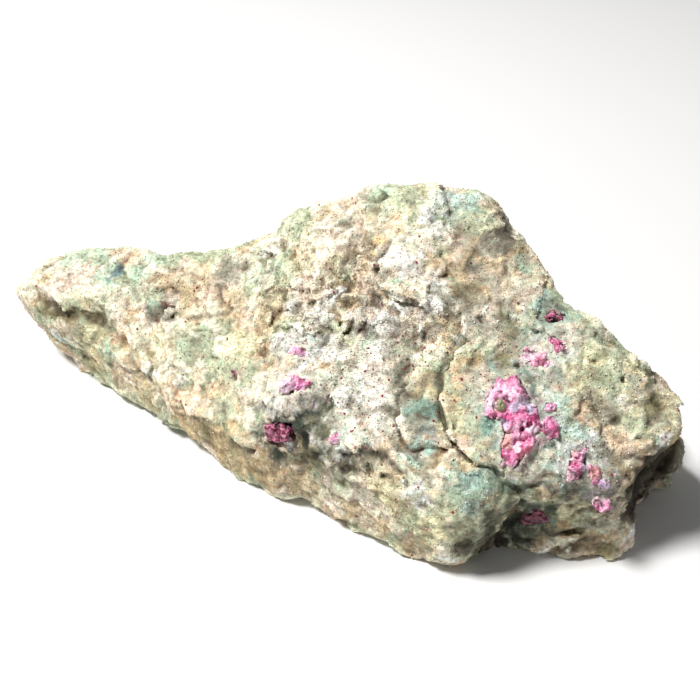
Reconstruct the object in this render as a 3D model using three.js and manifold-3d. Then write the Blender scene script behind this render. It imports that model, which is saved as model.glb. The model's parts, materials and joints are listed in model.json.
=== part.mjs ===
// A rough specimen of ruby in green mica schist, as broken from the seam: one stone with the ruby
// crystals seated in pockets of its surface. Millimetres, +Z up. The origin is on the plane that
// the stone rests on, under the middle of the stone. The long axis runs along X, the broad sloping
// face with the rubies looks towards -Y, and the steep back looks towards +Y.
import * as THREE from "three";
import { ConvexHull } from "three/addons/math/ConvexHull.js";
import { ImprovedNoise } from "three/addons/math/ImprovedNoise.js";
import { mergeVertices } from "three/addons/utils/BufferGeometryUtils.js";
import Module from "manifold-3d";

const wasm = await Module();
wasm.setup();

// ---- driving dimensions --------------------------------------------------------------------
const CELL = 3.6; // spacing of the lattice that the stone's skin is drawn on
const FILL_SHARE = 0.2; // how far inside the skin a filled lattice point lies, in cells
const BLEND = 4; // how far the lumps run into each other where they meet
const RELIEF = 1.2; // height of the uneven relief on the broken faces
const RELIEF_PITCH = 17; // distance from one swell of the relief to the next
const SOLE = 0; // height of the flat face that the stone rests on
const GROUND_SIZE = 400; // side of the block that the sole is cut off with
const WELD = 1e-4; // corners nearer than this are one corner
const SEAT_GAP = 0.3; // clearance between a ruby and the wall of its pocket
const SEAT_PASSES = 3; // times a seat is moved nearer to the skin
const PROUD = 0.7; // how far a ruby's outer side stands out of the stone's broken face
const CRYSTAL_SIDES = 6; // corundum grows in six-sided barrels
const FLAT_TO_FLAT = Math.sqrt(3) / 2; // a hexagon's width across its sides, over its corners
const BARREL = [[0, -0.5], [0.38, -0.5], [0.5, -0.1], [0.44, 0.5], [0, 0.5]]; // half outline

// ---- the stone ------------------------------------------------------------------------------
// Corners of the stone's lumps, each [x, y, z].
const LUMPS = {
  wing: [
    [-81, 25.5, 24], [-82.5, 27, 18], [-79.5, 29, 6], [-76, 26.5, 3], [-71, 20.5, -3],
    [-66, 17, -3], [-61, 12.5, -3], [-53, 6, -3], [-46, 0, -3], [-76, 29, 27], [-71.5, 32, 29],
    [-64, 31.5, 31.5], [-40, 23.5, 33.5], [-25, 19, 36], [-68, 22, 24], [-60, 17.5, 23.5],
    [-52.5, 11, 19.5], [-48.5, 3, 15], [-43, -5, 12], [-79, 38, 12], [-68, 44, -3],
    [-30, 42, -3], [-30, 0, -3],
  ],
  body: [
    [-43, -5, 12], [-33, -14, 12], [-22, -21.5, 13.5], [-10, -27, 16.5], [0, -33, 19.5],
    [10, -39, 21], [-46, -1, -3], [-41, -5, -3], [-34, -11, -3], [-11, -27, -3], [-4, -32, -3],
    [6, -37.5, -3], [12, -40, -3], [-25, 19, 36], [-14, 19, 42.5], [30, -5, 41], [-34, 40, 8],
    [-30, 45, -3], [30, 45, -3], [5, 36, 30], [-40, 23, 32], [30, -30, -3],
  ],
  peak: [
    [-15.5, 21, 44], [-9, 21, 47.5], [-4, 20, 51.5], [0, 19, 54.5], [6, 17, 57], [13, 14.5, 57],
    [21, 14, 57], [30, 13.5, 56.5], [33.5, 10, 54], [8, -8, 42], [31, -12, 40], [39.5, -4, 46.5],
    [0, 38, 24], [32, 38, 22], [-10, 42, 0], [38, 38, 0], [-20, 10, 33], [10, -20, 22],
    [38, -10, 12],
  ],
  shelf: [
    [22, -43, 21], [33, -41.5, 18], [54, -42, 16], [61.5, -35, 22], [67.5, -32.5, 27],
    [65.5, -25.5, 32.5], [57.5, -22, 37.5], [48, -16, 41.5], [40, -5, 45], [15, -30, 27],
    [20, -10, 31], [52, 12, 8], [20, 0, 5], [40, -32, 5], [56, -20, 15], [58, -5, 20],
  ],
  nose: [
    [12, -39, 20], [20, -43.5, 21.5], [27, -43.5, 18], [29, -42, 10], [27, -42, -3],
    [22, -44.5, -3], [12, -40, -3], [10, -36, 12], [20, -32, 24], [30, -32, 20], [18, -45, 10],
    [24, -45, 6], [25, -20, 10],
  ],
  foot: [
    [34, -40.5, -3], [43, -42, -3], [59, -42, -3], [59, -38, 8], [55, -37, 13],
    [61, -33, -3], [36, -39, 6], [50, -40.5, 9], [24, -39.5, -3], [26, -36, 12], [40, -20, 18],
    [58, -24, 10], [30, -20, -3],
  ],
  heel: [
    [58, -28, -3], [61, -31, -3], [66, -26.5, -3], [69.5, -23, -3], [73, -17, -3], [74, -10, -3],
    [71.5, -21.5, 9], [70.5, -23, 14], [62, -24, 18], [72, 4, -3], [48, 32, -3], [62, 5, 15],
    [50, 0, 22], [40, 10, 20],
  ],
  knob: [
    [-10.5, -19, 26.5], [-13.5, -16, 27], [-17, -15.5, 25], [-18, -19, 22.5], [-15.5, -22, 22],
    [-11.5, -22, 24], [-4.5, -16.5, 25], [-10, -10, 26], [-17.5, -10, 22], [-19.5, -16, 16.5],
    [-14, -21.5, 16.5], [-6.5, -22, 20],
  ],
};
// Corners of the hollow broken out under the right end of the shelf.
const RECESS = [
  [53.5, -39, 16], [56, -37.5, 20.5], [59.5, -35, 24], [65.5, -31, 26.5], [57.5, -34, 7],
  [61, -28, 5], [66.5, -23, 9], [70, -22, 18], [60.5, -29.5, 15], [61, -48, 14], [65, -45, 24],
  [75, -40, 26], [65, -42, 5], [75, -30, 6], [79, -30, 18],
];

const SCHIST = 0xb9bd9c;
const SCHIST_ROUGHNESS = 0.85;

// Signed distance to a lump: how far a point lies outside the face it is furthest outside of.
function lumpField(corners) {
  const hull = new ConvexHull().setFromPoints(corners.map((corner) => new THREE.Vector3(...corner)));
  const planes = hull.faces.map((face) => new THREE.Plane(face.normal, -face.constant));
  return (point) => Math.max(...planes.map((plane) => plane.distanceToPoint(point)));
}

// The lower of two distances, rounded over where they are nearly the same.
function blended(one, other) {
  const overlap = Math.max(1 - Math.abs(one - other) / BLEND, 0);
  return Math.min(one, other) - (overlap * overlap * BLEND) / 4;
}

// Uneven relief: two sizes of swell.
function relief(point, noise) {
  const swell = (pitch) => noise.noise(point.x / pitch, point.y / pitch, point.z / pitch);
  return RELIEF * (swell(RELIEF_PITCH) + 0.5 * swell(RELIEF_PITCH / 2));
}

function stoneField() {
  const lumps = Object.values(LUMPS).map(lumpField);
  const noise = new ImprovedNoise();
  const recess = lumpField(RECESS);
  return (point) => {
    const whole = lumps.map((lump) => lump(point)).reduce(blended) - relief(point, noise);
    return Math.max(whole, -recess(point));
  };
}

// The box that the lattice fills, with a few cells to spare all round.
function latticeBox() {
  const corners = Object.values(LUMPS).flat();
  const places = corners.map((corner) => new THREE.Vector3(...corner));
  return new THREE.Box3().setFromPoints(places).expandByScalar(3 * CELL);
}

// Fills lattice points until no square of four has stone on one diagonal only, where the skin would
// touch itself.
function fillPinches(values, strides) {
  let filled = true;
  while (filled) {
    filled = false;
    for (let i = 0; i < values.length; i++) {
      for (const axis of [0, 1, 2]) {
        const across = strides[axis];
        const up = strides[(axis + 1) % 3];
        const [near, side, far, over] = [i, i + across, i + across + up, i + up];
        const stone = [near, side, far, over].map((corner) => values[corner] < 0);
        if (stone[0] !== stone[2] || stone[1] !== stone[3] || stone[0] === stone[1]) continue;
        const [one, other] = stone[0] ? [side, over] : [near, far];
        values[values[one] < values[other] ? one : other] = -CELL * FILL_SHARE;
        filled = true;
      }
    }
  }
}

// The closed skin on which a field is zero: one point in each lattice cell that the skin passes
// through, and one pair of triangles across each lattice edge that it crosses.
function skinOf(field, box) {
  const counts = box.getSize(new THREE.Vector3()).divideScalar(CELL).ceil().addScalar(1);
  const size = counts.toArray();
  const strides = [1, size[0], size[0] * size[1]];
  const values = new Float32Array(size[0] * size[1] * size[2]);
  const nodeAt = (i) => [
    i % size[0],
    Math.floor(i / strides[1]) % size[1],
    Math.floor(i / strides[2]),
  ];
  const placeOf = (node) => new THREE.Vector3(...node).multiplyScalar(CELL).add(box.min);
  for (let i = 0; i < values.length; i++) values[i] = field(placeOf(nodeAt(i)));
  fillPinches(values, strides);

  const positions = [];
  const cellPoint = new Map();
  function pointOfCell(cell) {
    if (cellPoint.has(cell)) return cellPoint.get(cell);
    const sum = new THREE.Vector3();
    let crossings = 0;
    for (const axis of [0, 1, 2]) {
      const across = strides[(axis + 1) % 3];
      const up = strides[(axis + 2) % 3];
      for (const start of [cell, cell + across, cell + up, cell + across + up]) {
        const end = start + strides[axis];
        if (values[start] < 0 === values[end] < 0) continue;
        const share = values[start] / (values[start] - values[end]);
        sum.add(placeOf(nodeAt(start)).lerp(placeOf(nodeAt(end)), share));
        crossings += 1;
      }
    }
    sum.divideScalar(crossings);
    positions.push(sum.x, sum.y, sum.z);
    cellPoint.set(cell, positions.length / 3 - 1);
    return cellPoint.get(cell);
  }

  const index = [];
  for (let i = 0; i < values.length; i++) {
    const node = nodeAt(i);
    for (const axis of [0, 1, 2]) {
      if (node[axis] + 1 >= size[axis]) continue;
      const inside = values[i] < 0;
      if (inside === values[i + strides[axis]] < 0) continue;
      const across = strides[(axis + 1) % 3];
      const up = strides[(axis + 2) % 3];
      const ring = [i, i - across, i - across - up, i - up].map(pointOfCell);
      if (!inside) ring.reverse();
      index.push(ring[0], ring[1], ring[2], ring[0], ring[2], ring[3]);
    }
  }
  const skin = new THREE.BufferGeometry();
  skin.setAttribute("position", new THREE.Float32BufferAttribute(positions, 3));
  skin.setIndex(index);
  return skin;
}

function asSolid(geometry) {
  const bare = geometry.clone();
  bare.deleteAttribute("normal");
  bare.deleteAttribute("uv");
  const merged = mergeVertices(bare, WELD);
  return new wasm.Manifold(
    new wasm.Mesh({
      numProp: 3,
      vertProperties: new Float32Array(merged.getAttribute("position").array),
      triVerts: new Uint32Array(merged.getIndex().array),
    }),
  );
}

function asGeometry(solid) {
  const mesh = solid.getMesh();
  const geometry = new THREE.BufferGeometry();
  geometry.setAttribute("position", new THREE.BufferAttribute(mesh.vertProperties, 3));
  geometry.setIndex(new THREE.BufferAttribute(mesh.triVerts, 1));
  return geometry;
}

// ---- the rubies -----------------------------------------------------------------------------
// Each ruby: where it breaks the skin, its length, width and thickness, how far its length is
// turned from level, and its colour. A cluster has several crystals, each set off from the seat
// along the level and up the slope.
const RUBY_ROUGHNESS = 0.35;
const PINK = 0xcf5a94;
const ROSE = 0xd9789f;
const PALE = 0xdf9fba;
const CRIMSON = 0x8c1f4a;
const LILAC = 0xc3a0d0;
const MAROON = 0x5a1626;
const CLUSTER = [
  { level: -4.3, up: 4.2, size: [7.6, 5.6, 5], turn: 76 },
  { level: -1.6, up: 5.4, size: [6.4, 5.6, 5.2], turn: 122 },
  { level: 1.1, up: 1.3, size: [7.4, 5.6, 5], turn: 122 },
  { level: 5.7, up: -0.3, size: [3.8, 3.4, 4.4], turn: 115 },
  { level: -1.5, up: -4.2, size: [6.6, 3.6, 4.2], turn: 82 },
  { level: 0.2, up: -5.6, size: [6.6, 3.8, 4.6], turn: 62 },
  { level: -1.6, up: 0.2, size: [6.4, 5, 4.8], turn: 96 },
];
const RUBIES = {
  ruby_cluster: { seat: [33, -32, 29], crystals: CLUSTER, color: PINK },
  ruby_above_cluster: { seat: [37, -21, 36], size: [5.6, 3.8, 3.6], turn: -20, color: ROSE },
  ruby_shelf_top: { seat: [41, -18.5, 38], size: [3.2, 2, 2.4], turn: -35, color: PINK },
  ruby_beside_cluster: { seat: [39, -29.5, 31], size: [2, 1.7, 2], turn: 10, color: PALE },
  ruby_shelf_front: { seat: [44, -37.8, 23.3], size: [4.8, 3.9, 4], turn: 75, color: PINK },
  ruby_shelf_fringe: { seat: [47.3, -38.6, 21.2], size: [3.2, 2.2, 2.4], turn: 110, color: ROSE },
  ruby_shelf_lilac: { seat: [49, -39.1, 19.8], size: [1.3, 1, 1.4], turn: 0, color: LILAC },
  ruby_shelf_edge: { seat: [49.3, -40.2, 16], size: [2.1, 1.7, 2.2], turn: 20, color: PINK },
  ruby_shelf_dark: { seat: [41, -13.6, 41], size: [2.6, 1.9, 2], turn: -15, color: CRIMSON },
  ruby_in_throat: { seat: [37, -38.4, 10.1], size: [3.8, 3.6, 3.6], turn: 30, color: CRIMSON },
  ruby_under_knob: { seat: [-14.5, -22.6, 18], size: [6.3, 3.6, 4], turn: 28, color: CRIMSON },
  ruby_on_knob: { seat: [-11, -17, 24.9], size: [5.4, 3.4, 3.6], turn: 24, color: PINK },
  ruby_above_knob: { seat: [-11.5, -8.2, 28], size: [4.4, 2.3, 2.6], turn: 30, color: PALE },
  ruby_low_centre: { seat: [-2.6, -27.9, 21.3], size: [2.7, 2.4, 2.6], turn: 45, color: PALE },
  ruby_wing_dark: { seat: [-24.9, -8.2, 20.7], size: [1.8, 1.3, 1.8], turn: -50, color: MAROON },
  ruby_back_large: { seat: [14, 38, 22], size: [7.5, 5, 4.6], turn: 60, color: PINK },
  ruby_back_small: { seat: [6, 40, 13], size: [3.6, 2.8, 3], turn: 15, color: CRIMSON },
  ruby_back_wing: { seat: [-46, 38, 16], size: [4.4, 3.2, 3.2], turn: -30, color: ROSE },
  ruby_back_heel: { seat: [56, 16, 15], size: [4.8, 3.4, 3.4], turn: 50, color: PINK },
};

// The direction straight out of the stone at a point.
function outwardAt(field, point) {
  const rise = (axis) => {
    const step = new THREE.Vector3().setComponent(axis, CELL / 2);
    return field(point.clone().add(step)) - field(point.clone().sub(step));
  };
  return new THREE.Vector3(rise(0), rise(1), rise(2)).normalize();
}

// The place on the skin nearest to a seat, with the level direction, the way up the slope and the
// way out of the stone as its axes.
function seatOn(field, seat) {
  const place = new THREE.Vector3(...seat);
  for (let pass = 0; pass < SEAT_PASSES; pass++) {
    place.addScaledVector(outwardAt(field, place), -field(place));
  }
  const out = outwardAt(field, place);
  const level = new THREE.Vector3(0, 0, 1).cross(out).normalize();
  const up = out.clone().cross(level);
  return new THREE.Matrix4().makeBasis(level, up, out).setPosition(place);
}

// A six-sided barrel crystal with room left all round it, lying along the skin.
function crystal({ level = 0, up = 0, size, turn }, room) {
  const [length, width, thickness] = size;
  const outline = BARREL.map((point) => new THREE.Vector2(...point));
  const barrel = new THREE.LatheGeometry(outline, CRYSTAL_SIDES);
  barrel.rotateY(Math.PI / CRYSTAL_SIDES);
  barrel.scale(width + 2 * room, length + 2 * room, thickness + 2 * room);
  barrel.rotateZ(THREE.MathUtils.degToRad(turn - 90));
  barrel.translate(level, up, PROUD - (thickness * FLAT_TO_FLAT) / 2);
  return barrel;
}

function rubySolid(ruby, frame, room) {
  const crystals = (ruby.crystals ?? [ruby]).map((each) => crystal(each, room).applyMatrix4(frame));
  return crystals.map(asSolid).reduce((joined, solid) => joined.add(solid));
}

// ---- the specimen ---------------------------------------------------------------------------
function finish(name, solid, color, roughness) {
  const look = new THREE.MeshStandardMaterial({ color, roughness, metalness: 0 });
  const mesh = new THREE.Mesh(asGeometry(solid), look);
  mesh.name = name;
  return mesh;
}

// The stone without the crumbs that the pockets of a cluster cut loose between its crystals.
function withoutCrumbs(solid) {
  return solid.decompose().reduce((most, piece) => (piece.volume() > most.volume() ? piece : most));
}

const field = stoneField();
const ground = new THREE.BoxGeometry(GROUND_SIZE, GROUND_SIZE, GROUND_SIZE);
ground.translate(0, 0, SOLE - GROUND_SIZE / 2);
let stone = asSolid(skinOf(field, latticeBox())).subtract(asSolid(ground));

const stonework = new THREE.Group();
for (const [name, ruby] of Object.entries(RUBIES)) {
  const frame = seatOn(field, ruby.seat);
  stone = stone.subtract(rubySolid(ruby, frame, SEAT_GAP));
  stonework.add(finish(name, rubySolid(ruby, frame, 0), ruby.color, RUBY_ROUGHNESS));
}
stonework.add(finish("schist_matrix", withoutCrumbs(stone), SCHIST, SCHIST_ROUGHNESS));

// The stone's middle goes over the origin.
const extent = new THREE.Box3().setFromObject(stonework, true);
const middle = extent.getCenter(new THREE.Vector3());
stonework.position.set(-middle.x, -middle.y, -SOLE);
const specimen = new THREE.Group();
specimen.add(stonework);
export default specimen;
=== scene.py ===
import itertools
import json
import math

import bpy
import numpy as np
import openvdb as vdb
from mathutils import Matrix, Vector

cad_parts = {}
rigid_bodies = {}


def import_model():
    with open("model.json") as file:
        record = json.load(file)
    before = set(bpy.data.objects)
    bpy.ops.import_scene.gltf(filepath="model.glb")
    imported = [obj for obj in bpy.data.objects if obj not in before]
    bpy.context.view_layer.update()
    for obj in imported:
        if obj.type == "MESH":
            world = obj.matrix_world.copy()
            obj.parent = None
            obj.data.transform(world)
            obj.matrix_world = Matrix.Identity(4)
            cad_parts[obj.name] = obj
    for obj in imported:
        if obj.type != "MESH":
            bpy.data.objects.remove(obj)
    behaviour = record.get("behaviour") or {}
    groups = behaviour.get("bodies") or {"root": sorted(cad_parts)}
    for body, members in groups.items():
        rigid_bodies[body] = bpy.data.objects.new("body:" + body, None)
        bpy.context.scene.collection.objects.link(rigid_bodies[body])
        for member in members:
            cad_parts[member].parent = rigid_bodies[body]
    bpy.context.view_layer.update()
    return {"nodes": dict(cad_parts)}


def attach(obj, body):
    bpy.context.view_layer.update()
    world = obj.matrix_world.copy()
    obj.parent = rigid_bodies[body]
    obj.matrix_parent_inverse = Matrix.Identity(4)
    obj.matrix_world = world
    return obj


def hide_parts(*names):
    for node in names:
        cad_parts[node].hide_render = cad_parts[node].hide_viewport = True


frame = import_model()

# The studio: a pale table in a white room, with one soft lamp high on the left. The lens looks down
# on the stone's sloping face from in front.
scene = bpy.context.scene
scene.view_settings.view_transform = "Standard"

LOOK_DOWN = math.radians(38)
LOOK_FROM = 0.218
LOOK_AT = Vector((0.00506, 0, 0.022))
lens = bpy.data.cameras.new("lens")
lens.lens = 50
lens.sensor_width = 36
lens.clip_start = 0.01
camera = bpy.data.objects.new("camera", lens)
camera.location = LOOK_AT + Vector((0, -math.cos(LOOK_DOWN), math.sin(LOOK_DOWN))) * LOOK_FROM
camera.rotation_euler = (math.pi / 2 - LOOK_DOWN, 0, 0)
scene.collection.objects.link(camera)
scene.camera = camera

TABLE_HALF = 4.0
table_mesh = bpy.data.meshes.new("table")
table_corners = [(-1, -1), (1, -1), (1, 1), (-1, 1)]
table_mesh.from_pydata([(x * TABLE_HALF, y * TABLE_HALF, 0) for x, y in table_corners], [], [range(4)])
table = bpy.data.objects.new("table", table_mesh)
scene.collection.objects.link(table)
paper = bpy.data.materials.new("paper")
paper.use_nodes = True
paper.node_tree.nodes["Principled BSDF"].inputs["Base Color"].default_value = (0.8, 0.8, 0.8, 1)
paper.node_tree.nodes["Principled BSDF"].inputs["Roughness"].default_value = 0.9
table_mesh.materials.append(paper)

LAMP_PLACE = Vector((-0.385, 0.0, 0.76))
LAMP_WATTS = 10.65
LAMP_SIZE = 0.2
soft_lamp = bpy.data.lights.new("soft_lamp", "AREA")
soft_lamp.energy = LAMP_WATTS
soft_lamp.size = LAMP_SIZE
soft_lamp.color = (1.0, 0.99, 0.97)
lamp_stand = bpy.data.objects.new("soft_lamp", soft_lamp)
lamp_stand.location = LAMP_PLACE
lamp_stand.rotation_euler = (LOOK_AT - LAMP_PLACE).to_track_quat("-Z", "Y").to_euler()
scene.collection.objects.link(lamp_stand)
ROOM_LIGHT = 0.17
room = bpy.data.worlds.new("room")
room.use_nodes = True
room.node_tree.nodes["Background"].inputs["Color"].default_value = (1.0, 1.0, 1.0, 1)
room.node_tree.nodes["Background"].inputs["Strength"].default_value = ROOM_LIGHT
scene.world = room

# The rubies: nineteen crystals and clumps of corundum, pink to dark crimson, that grew in the schist
# and were laid bare when it broke. Each is a crust of small broken faces, paler where it is bruised
# and painted darker in its clefts as painted shade, with a little schist still clinging along its edge.
# Some of their zones are painted highlights and painted shade.
MM = 0.001
SEED = 7


class Lattice:
    """Signed distances in millimetres, negative inside, on points a pitch apart."""

    def __init__(self, distance, start, pitch):
        self.distance = distance
        self.start = np.asarray(start)
        self.pitch = pitch

    def axes(self, box=(slice(None),) * 3):
        lines = []
        for which, part in enumerate(box):
            steps = np.arange(self.distance.shape[which], dtype=np.float32)[part]
            shape = [1, 1, 1]
            shape[which] = -1
            lines.append(((self.start[which] + steps) * self.pitch).reshape(shape).astype(np.float32))
        return lines

    def box(self, points, margin):
        points = np.atleast_2d(points)
        first = np.floor((points.min(0) - margin) / self.pitch - self.start).astype(int)
        last = np.ceil((points.max(0) + margin) / self.pitch - self.start).astype(int) + 1
        first = np.clip(first, 0, self.distance.shape)
        last = np.clip(last, 0, self.distance.shape)
        return tuple(slice(a, b) for a, b in zip(first, last))

    def ends(self):
        low = self.start * self.pitch
        return low, low + np.array(self.distance.shape) * self.pitch

    def at(self, points, field=None):
        """The field at points in millimetres, blended between the eight lattice points round each."""
        values = self.distance if field is None else field
        place = points / self.pitch - self.start
        place = np.clip(place, 0, np.array(values.shape) - 1.001)
        base = np.floor(place).astype(int)
        share = place - base
        total = np.zeros(len(points), np.float32)
        for corner in itertools.product((0, 1), repeat=3):
            weight = np.prod(np.where(corner, share, 1 - share), axis=1)
            i, j, k = (base + corner).T
            total += (weight * values[i, j, k]).astype(np.float32)
        return total

    def skin(self):
        """The vertices (millimetres) and quads of the surface at distance 0."""
        grid = vdb.FloatGrid()
        grid.background = float(self.distance.max())
        grid.copyFromArray(np.ascontiguousarray(self.distance), ijk=[int(i) for i in self.start])
        grid.transform = vdb.createLinearTransform(voxelSize=self.pitch)
        return grid.convertToQuads(0.0)


def rows_of(lines, shape, index=...):
    """The values along three axes at some lattice points, one point to a row."""
    return np.stack([np.broadcast_to(line, shape)[index].ravel() for line in lines], 1)


def cad_shape(name):
    """The CAD node's corners in millimetres and its triangles."""
    mesh = frame["nodes"][name].data
    places = np.empty(len(mesh.vertices) * 3, np.float32)
    mesh.vertices.foreach_get("co", places)
    corners = np.empty(len(mesh.loops), np.int32)
    mesh.loops.foreach_get("vertex_index", corners)
    places, shared = np.unique((places.reshape(-1, 3) / MM).round(4), axis=0, return_inverse=True)
    return places.astype(np.float32), shared.reshape(-1)[corners].reshape(-1, 3).astype(np.uint32)


def lattice_of(name, pitch, reach):
    """Distances to the CAD node's faces, as far as the reach on either side."""
    places, triangles = cad_shape(name)
    grid = vdb.FloatGrid.createLevelSetFromPolygons(
        places, triangles=triangles, transform=vdb.createLinearTransform(voxelSize=pitch),
        halfWidth=reach / pitch)
    low, high = (np.array(corner) for corner in grid.evalActiveVoxelBoundingBox())
    distance = np.zeros(high - low + 1, np.float32)
    grid.copyToArray(distance, ijk=[int(i) for i in low])
    return Lattice(distance, low, pitch)


def softened(field, spread):
    """The field blurred by a bell curve, its spread in lattice points."""
    radius = int(math.ceil(2.5 * spread))
    bell = np.exp(-0.5 * (np.arange(-radius, radius + 1) / spread) ** 2)
    bell = (bell / bell.sum()).astype(np.float32)
    for _ in range(3):
        padded = np.pad(field, ((radius, radius), (0, 0), (0, 0)), mode="edge")
        field = sum(weight * padded[i:i + len(field)] for i, weight in enumerate(bell))
        field = np.ascontiguousarray(np.moveaxis(field, 0, 2))
    return field


def rolling(points, size, seed):
    """Smooth noise from about -1 to 1 at each point, one swell about every size millimetres."""
    table = np.random.default_rng(seed).uniform(-1, 1, 4096).astype(np.float32)
    place = points / size
    base = np.floor(place).astype(np.int32)
    part = (place - base).astype(np.float32)
    part = part * part * (3 - 2 * part)
    total = np.zeros(len(points), np.float32)
    for corner in itertools.product((0, 1), repeat=3):
        cell = base + np.array(corner, np.int32)
        key = (cell[:, 0] * 1619 + cell[:, 1] * 31337 + cell[:, 2] * 6971) & 4095
        total += np.prod(np.where(corner, part, 1 - part), axis=1) * table[key]
    return 1.5 * total


def swirl(points, size, seed, stride=1):
    """Smooth noise in each of the three directions."""
    return np.stack([rolling(points, size, seed + stride * i) for i in range(3)], 1)


def plates(points, seed):
    """Splits space into ragged cells, one to each unit cube. Gives each point its cell's own random
    number, how much further the next cell's middle is, and the rise of the cell's tilted face."""
    table = np.random.default_rng(seed).random((4096, 7)).astype(np.float32)
    base = np.floor(points).astype(np.int32)
    part = (points - base).astype(np.float32)
    nearest = np.full(len(points), 9.0, np.float32)
    second = nearest.copy()
    own = np.zeros(len(points), np.float32)
    tilt = np.zeros(len(points), np.float32)
    for step in itertools.product((-1, 0, 1), repeat=3):
        cell = base + np.array(step, np.int32)
        key = (cell[:, 0] * 1619 + cell[:, 1] * 31337 + cell[:, 2] * 6971) & 4095
        row = table[key]
        off = row[:, :3] + np.array(step, np.float32) - part
        away = (off ** 2).sum(1)
        closer = away < nearest
        second = np.where(closer, nearest, np.minimum(second, away))
        own = np.where(closer, row[:, 3], own)
        tilt = np.where(closer, (off * (row[:, 4:] - 0.5)).sum(1), tilt)
        nearest = np.where(closer, away, nearest)
    return own, np.sqrt(second) - np.sqrt(nearest), tilt


def path_distance(place, path):
    """How far each place is from a bent line through the path's points."""
    nearest = np.full(np.broadcast_shapes(*(p.shape for p in place)), 1e9, np.float32)
    for start, end in itertools.pairwise(np.asarray(path, np.float32)):
        along = end - start
        length = float(along @ along)
        share = sum((place[i] - start[i]) * along[i] for i in range(3)) / length
        share = np.clip(share, 0, 1)
        away = sum((place[i] - start[i] - share * along[i]) ** 2 for i in range(3))
        nearest = np.minimum(nearest, away)
    return np.sqrt(nearest)


def step(value, low, high):
    """Rises smoothly from 0 at low to 1 at high."""
    share = np.clip((value - low) / (high - low), 0, 1)
    return share * share * (3 - 2 * share)


def linear(red, green, blue):
    """A colour as the eye counts it, 0 to 255, as light."""
    return np.array([(c / 255) ** 2.2 for c in (red, green, blue)], np.float32)


def solid(name, places, quads, most):
    """A closed mesh from millimetre places, thinned to at most that many triangles."""
    mesh = bpy.data.meshes.new(name)
    mesh.vertices.add(len(places))
    mesh.vertices.foreach_set("co", (places * MM).astype(np.float32).ravel())
    mesh.loops.add(len(quads) * 4)
    mesh.loops.foreach_set("vertex_index", quads[:, ::-1].astype(np.int32).ravel())
    mesh.polygons.add(len(quads))
    mesh.polygons.foreach_set("loop_start", np.arange(0, len(quads) * 4, 4, dtype=np.int32))
    mesh.update()
    mesh.validate()
    piece = bpy.data.objects.new(name, mesh)
    scene.collection.objects.link(piece)
    if 2 * len(quads) > most:
        thin = piece.modifiers.new("thin", "DECIMATE")
        thin.ratio = most / (2 * len(quads))
        thin.use_collapse_triangulate = True
        bpy.context.view_layer.update()
        made = bpy.data.meshes.new_from_object(piece.evaluated_get(bpy.context.evaluated_depsgraph_get()))
        piece.modifiers.remove(thin)
        piece.data = made
        bpy.data.meshes.remove(mesh)
        made.name = name
    piece.data.shade_smooth()
    return piece


def vertex_places(piece):
    """Where the piece's vertices are, in millimetres."""
    places = np.empty(len(piece.data.vertices) * 3, np.float32)
    piece.data.vertices.foreach_get("co", places)
    return places.reshape(-1, 3) / MM


def paint(piece, name, colours):
    """Stores a colour at each vertex."""
    layer = piece.data.attributes.new(name, "FLOAT_COLOR", "POINT")
    rgba = np.concatenate([colours, np.ones((len(colours), 1), np.float32)], 1)
    layer.data.foreach_set("color", rgba.astype(np.float32).ravel())


def node_maker(tree):
    """A function that adds a node to the tree, with its sockets set or joined."""
    def node(kind, sockets=None, **settings):
        made = tree.nodes.new(kind)
        for key, value in settings.items():
            setattr(made, key, value)
        for key, value in (sockets or {}).items():
            if isinstance(value, bpy.types.NodeSocket):
                tree.links.new(value, made.inputs[key])
            else:
                made.inputs[key].default_value = value
        return made

    return node


def shader(name):
    """A new material, its tree, its surface and a way to add nodes."""
    material = bpy.data.materials.new(name)
    material.use_nodes = True
    tree = material.node_tree
    return material, tree, tree.nodes["Principled BSDF"], node_maker(tree)


def stretched(node, value, low, high, least, most):
    """Stretches a value between low and high to run from least to most."""
    made = node("ShaderNodeMapRange", {"Value": value, "From Min": low, "From Max": high,
                                       "To Min": least, "To Max": most})
    return made.outputs[0]


def times(node, first, second, share=1.0):
    """The first value multiplied by the second, as far as the share."""
    made = node("ShaderNodeMix", {0: share, 6: first, 7: second}, data_type="RGBA", blend_type="MULTIPLY")
    return made.outputs[2]


RUBY_REACH = 1.2
RUBY_SKIN = 1.15
RUBIES = {
    # name: (bump size mm, bump height mm, pitch, most triangles)
    "ruby_cluster": (1.05, 0.34, 0.14, 60000),
    "ruby_above_cluster": (0.9, 0.35, 0.13, 9000),
    "ruby_shelf_top": (0.7, 0.3, 0.13, 5000),
    "ruby_beside_cluster": (0.6, 0.25, 0.13, 4000),
    "ruby_shelf_front": (0.8, 0.42, 0.13, 12000),
    "ruby_shelf_fringe": (0.6, 0.32, 0.13, 5000),
    "ruby_shelf_lilac": (0.5, 0.2, 0.13, 3000),
    "ruby_shelf_edge": (0.7, 0.32, 0.13, 5000),
    "ruby_shelf_dark": (0.7, 0.3, 0.13, 4000),
    "ruby_in_throat": (0.8, 0.4, 0.13, 8000),
    "ruby_under_knob": (0.95, 0.36, 0.13, 14000),
    "ruby_on_knob": (0.7, 0.25, 0.13, 10000),
    "ruby_above_knob": (0.6, 0.2, 0.13, 7000),
    "ruby_low_centre": (0.6, 0.25, 0.13, 5000),
    "ruby_wing_dark": (0.5, 0.2, 0.13, 3000),
    "ruby_back_large": (1.1, 0.4, 0.15, 12000),
    "ruby_back_small": (0.8, 0.35, 0.13, 6000),
    "ruby_back_wing": (0.8, 0.35, 0.13, 6000),
    "ruby_back_heel": (0.9, 0.38, 0.13, 8000),
}
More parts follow.
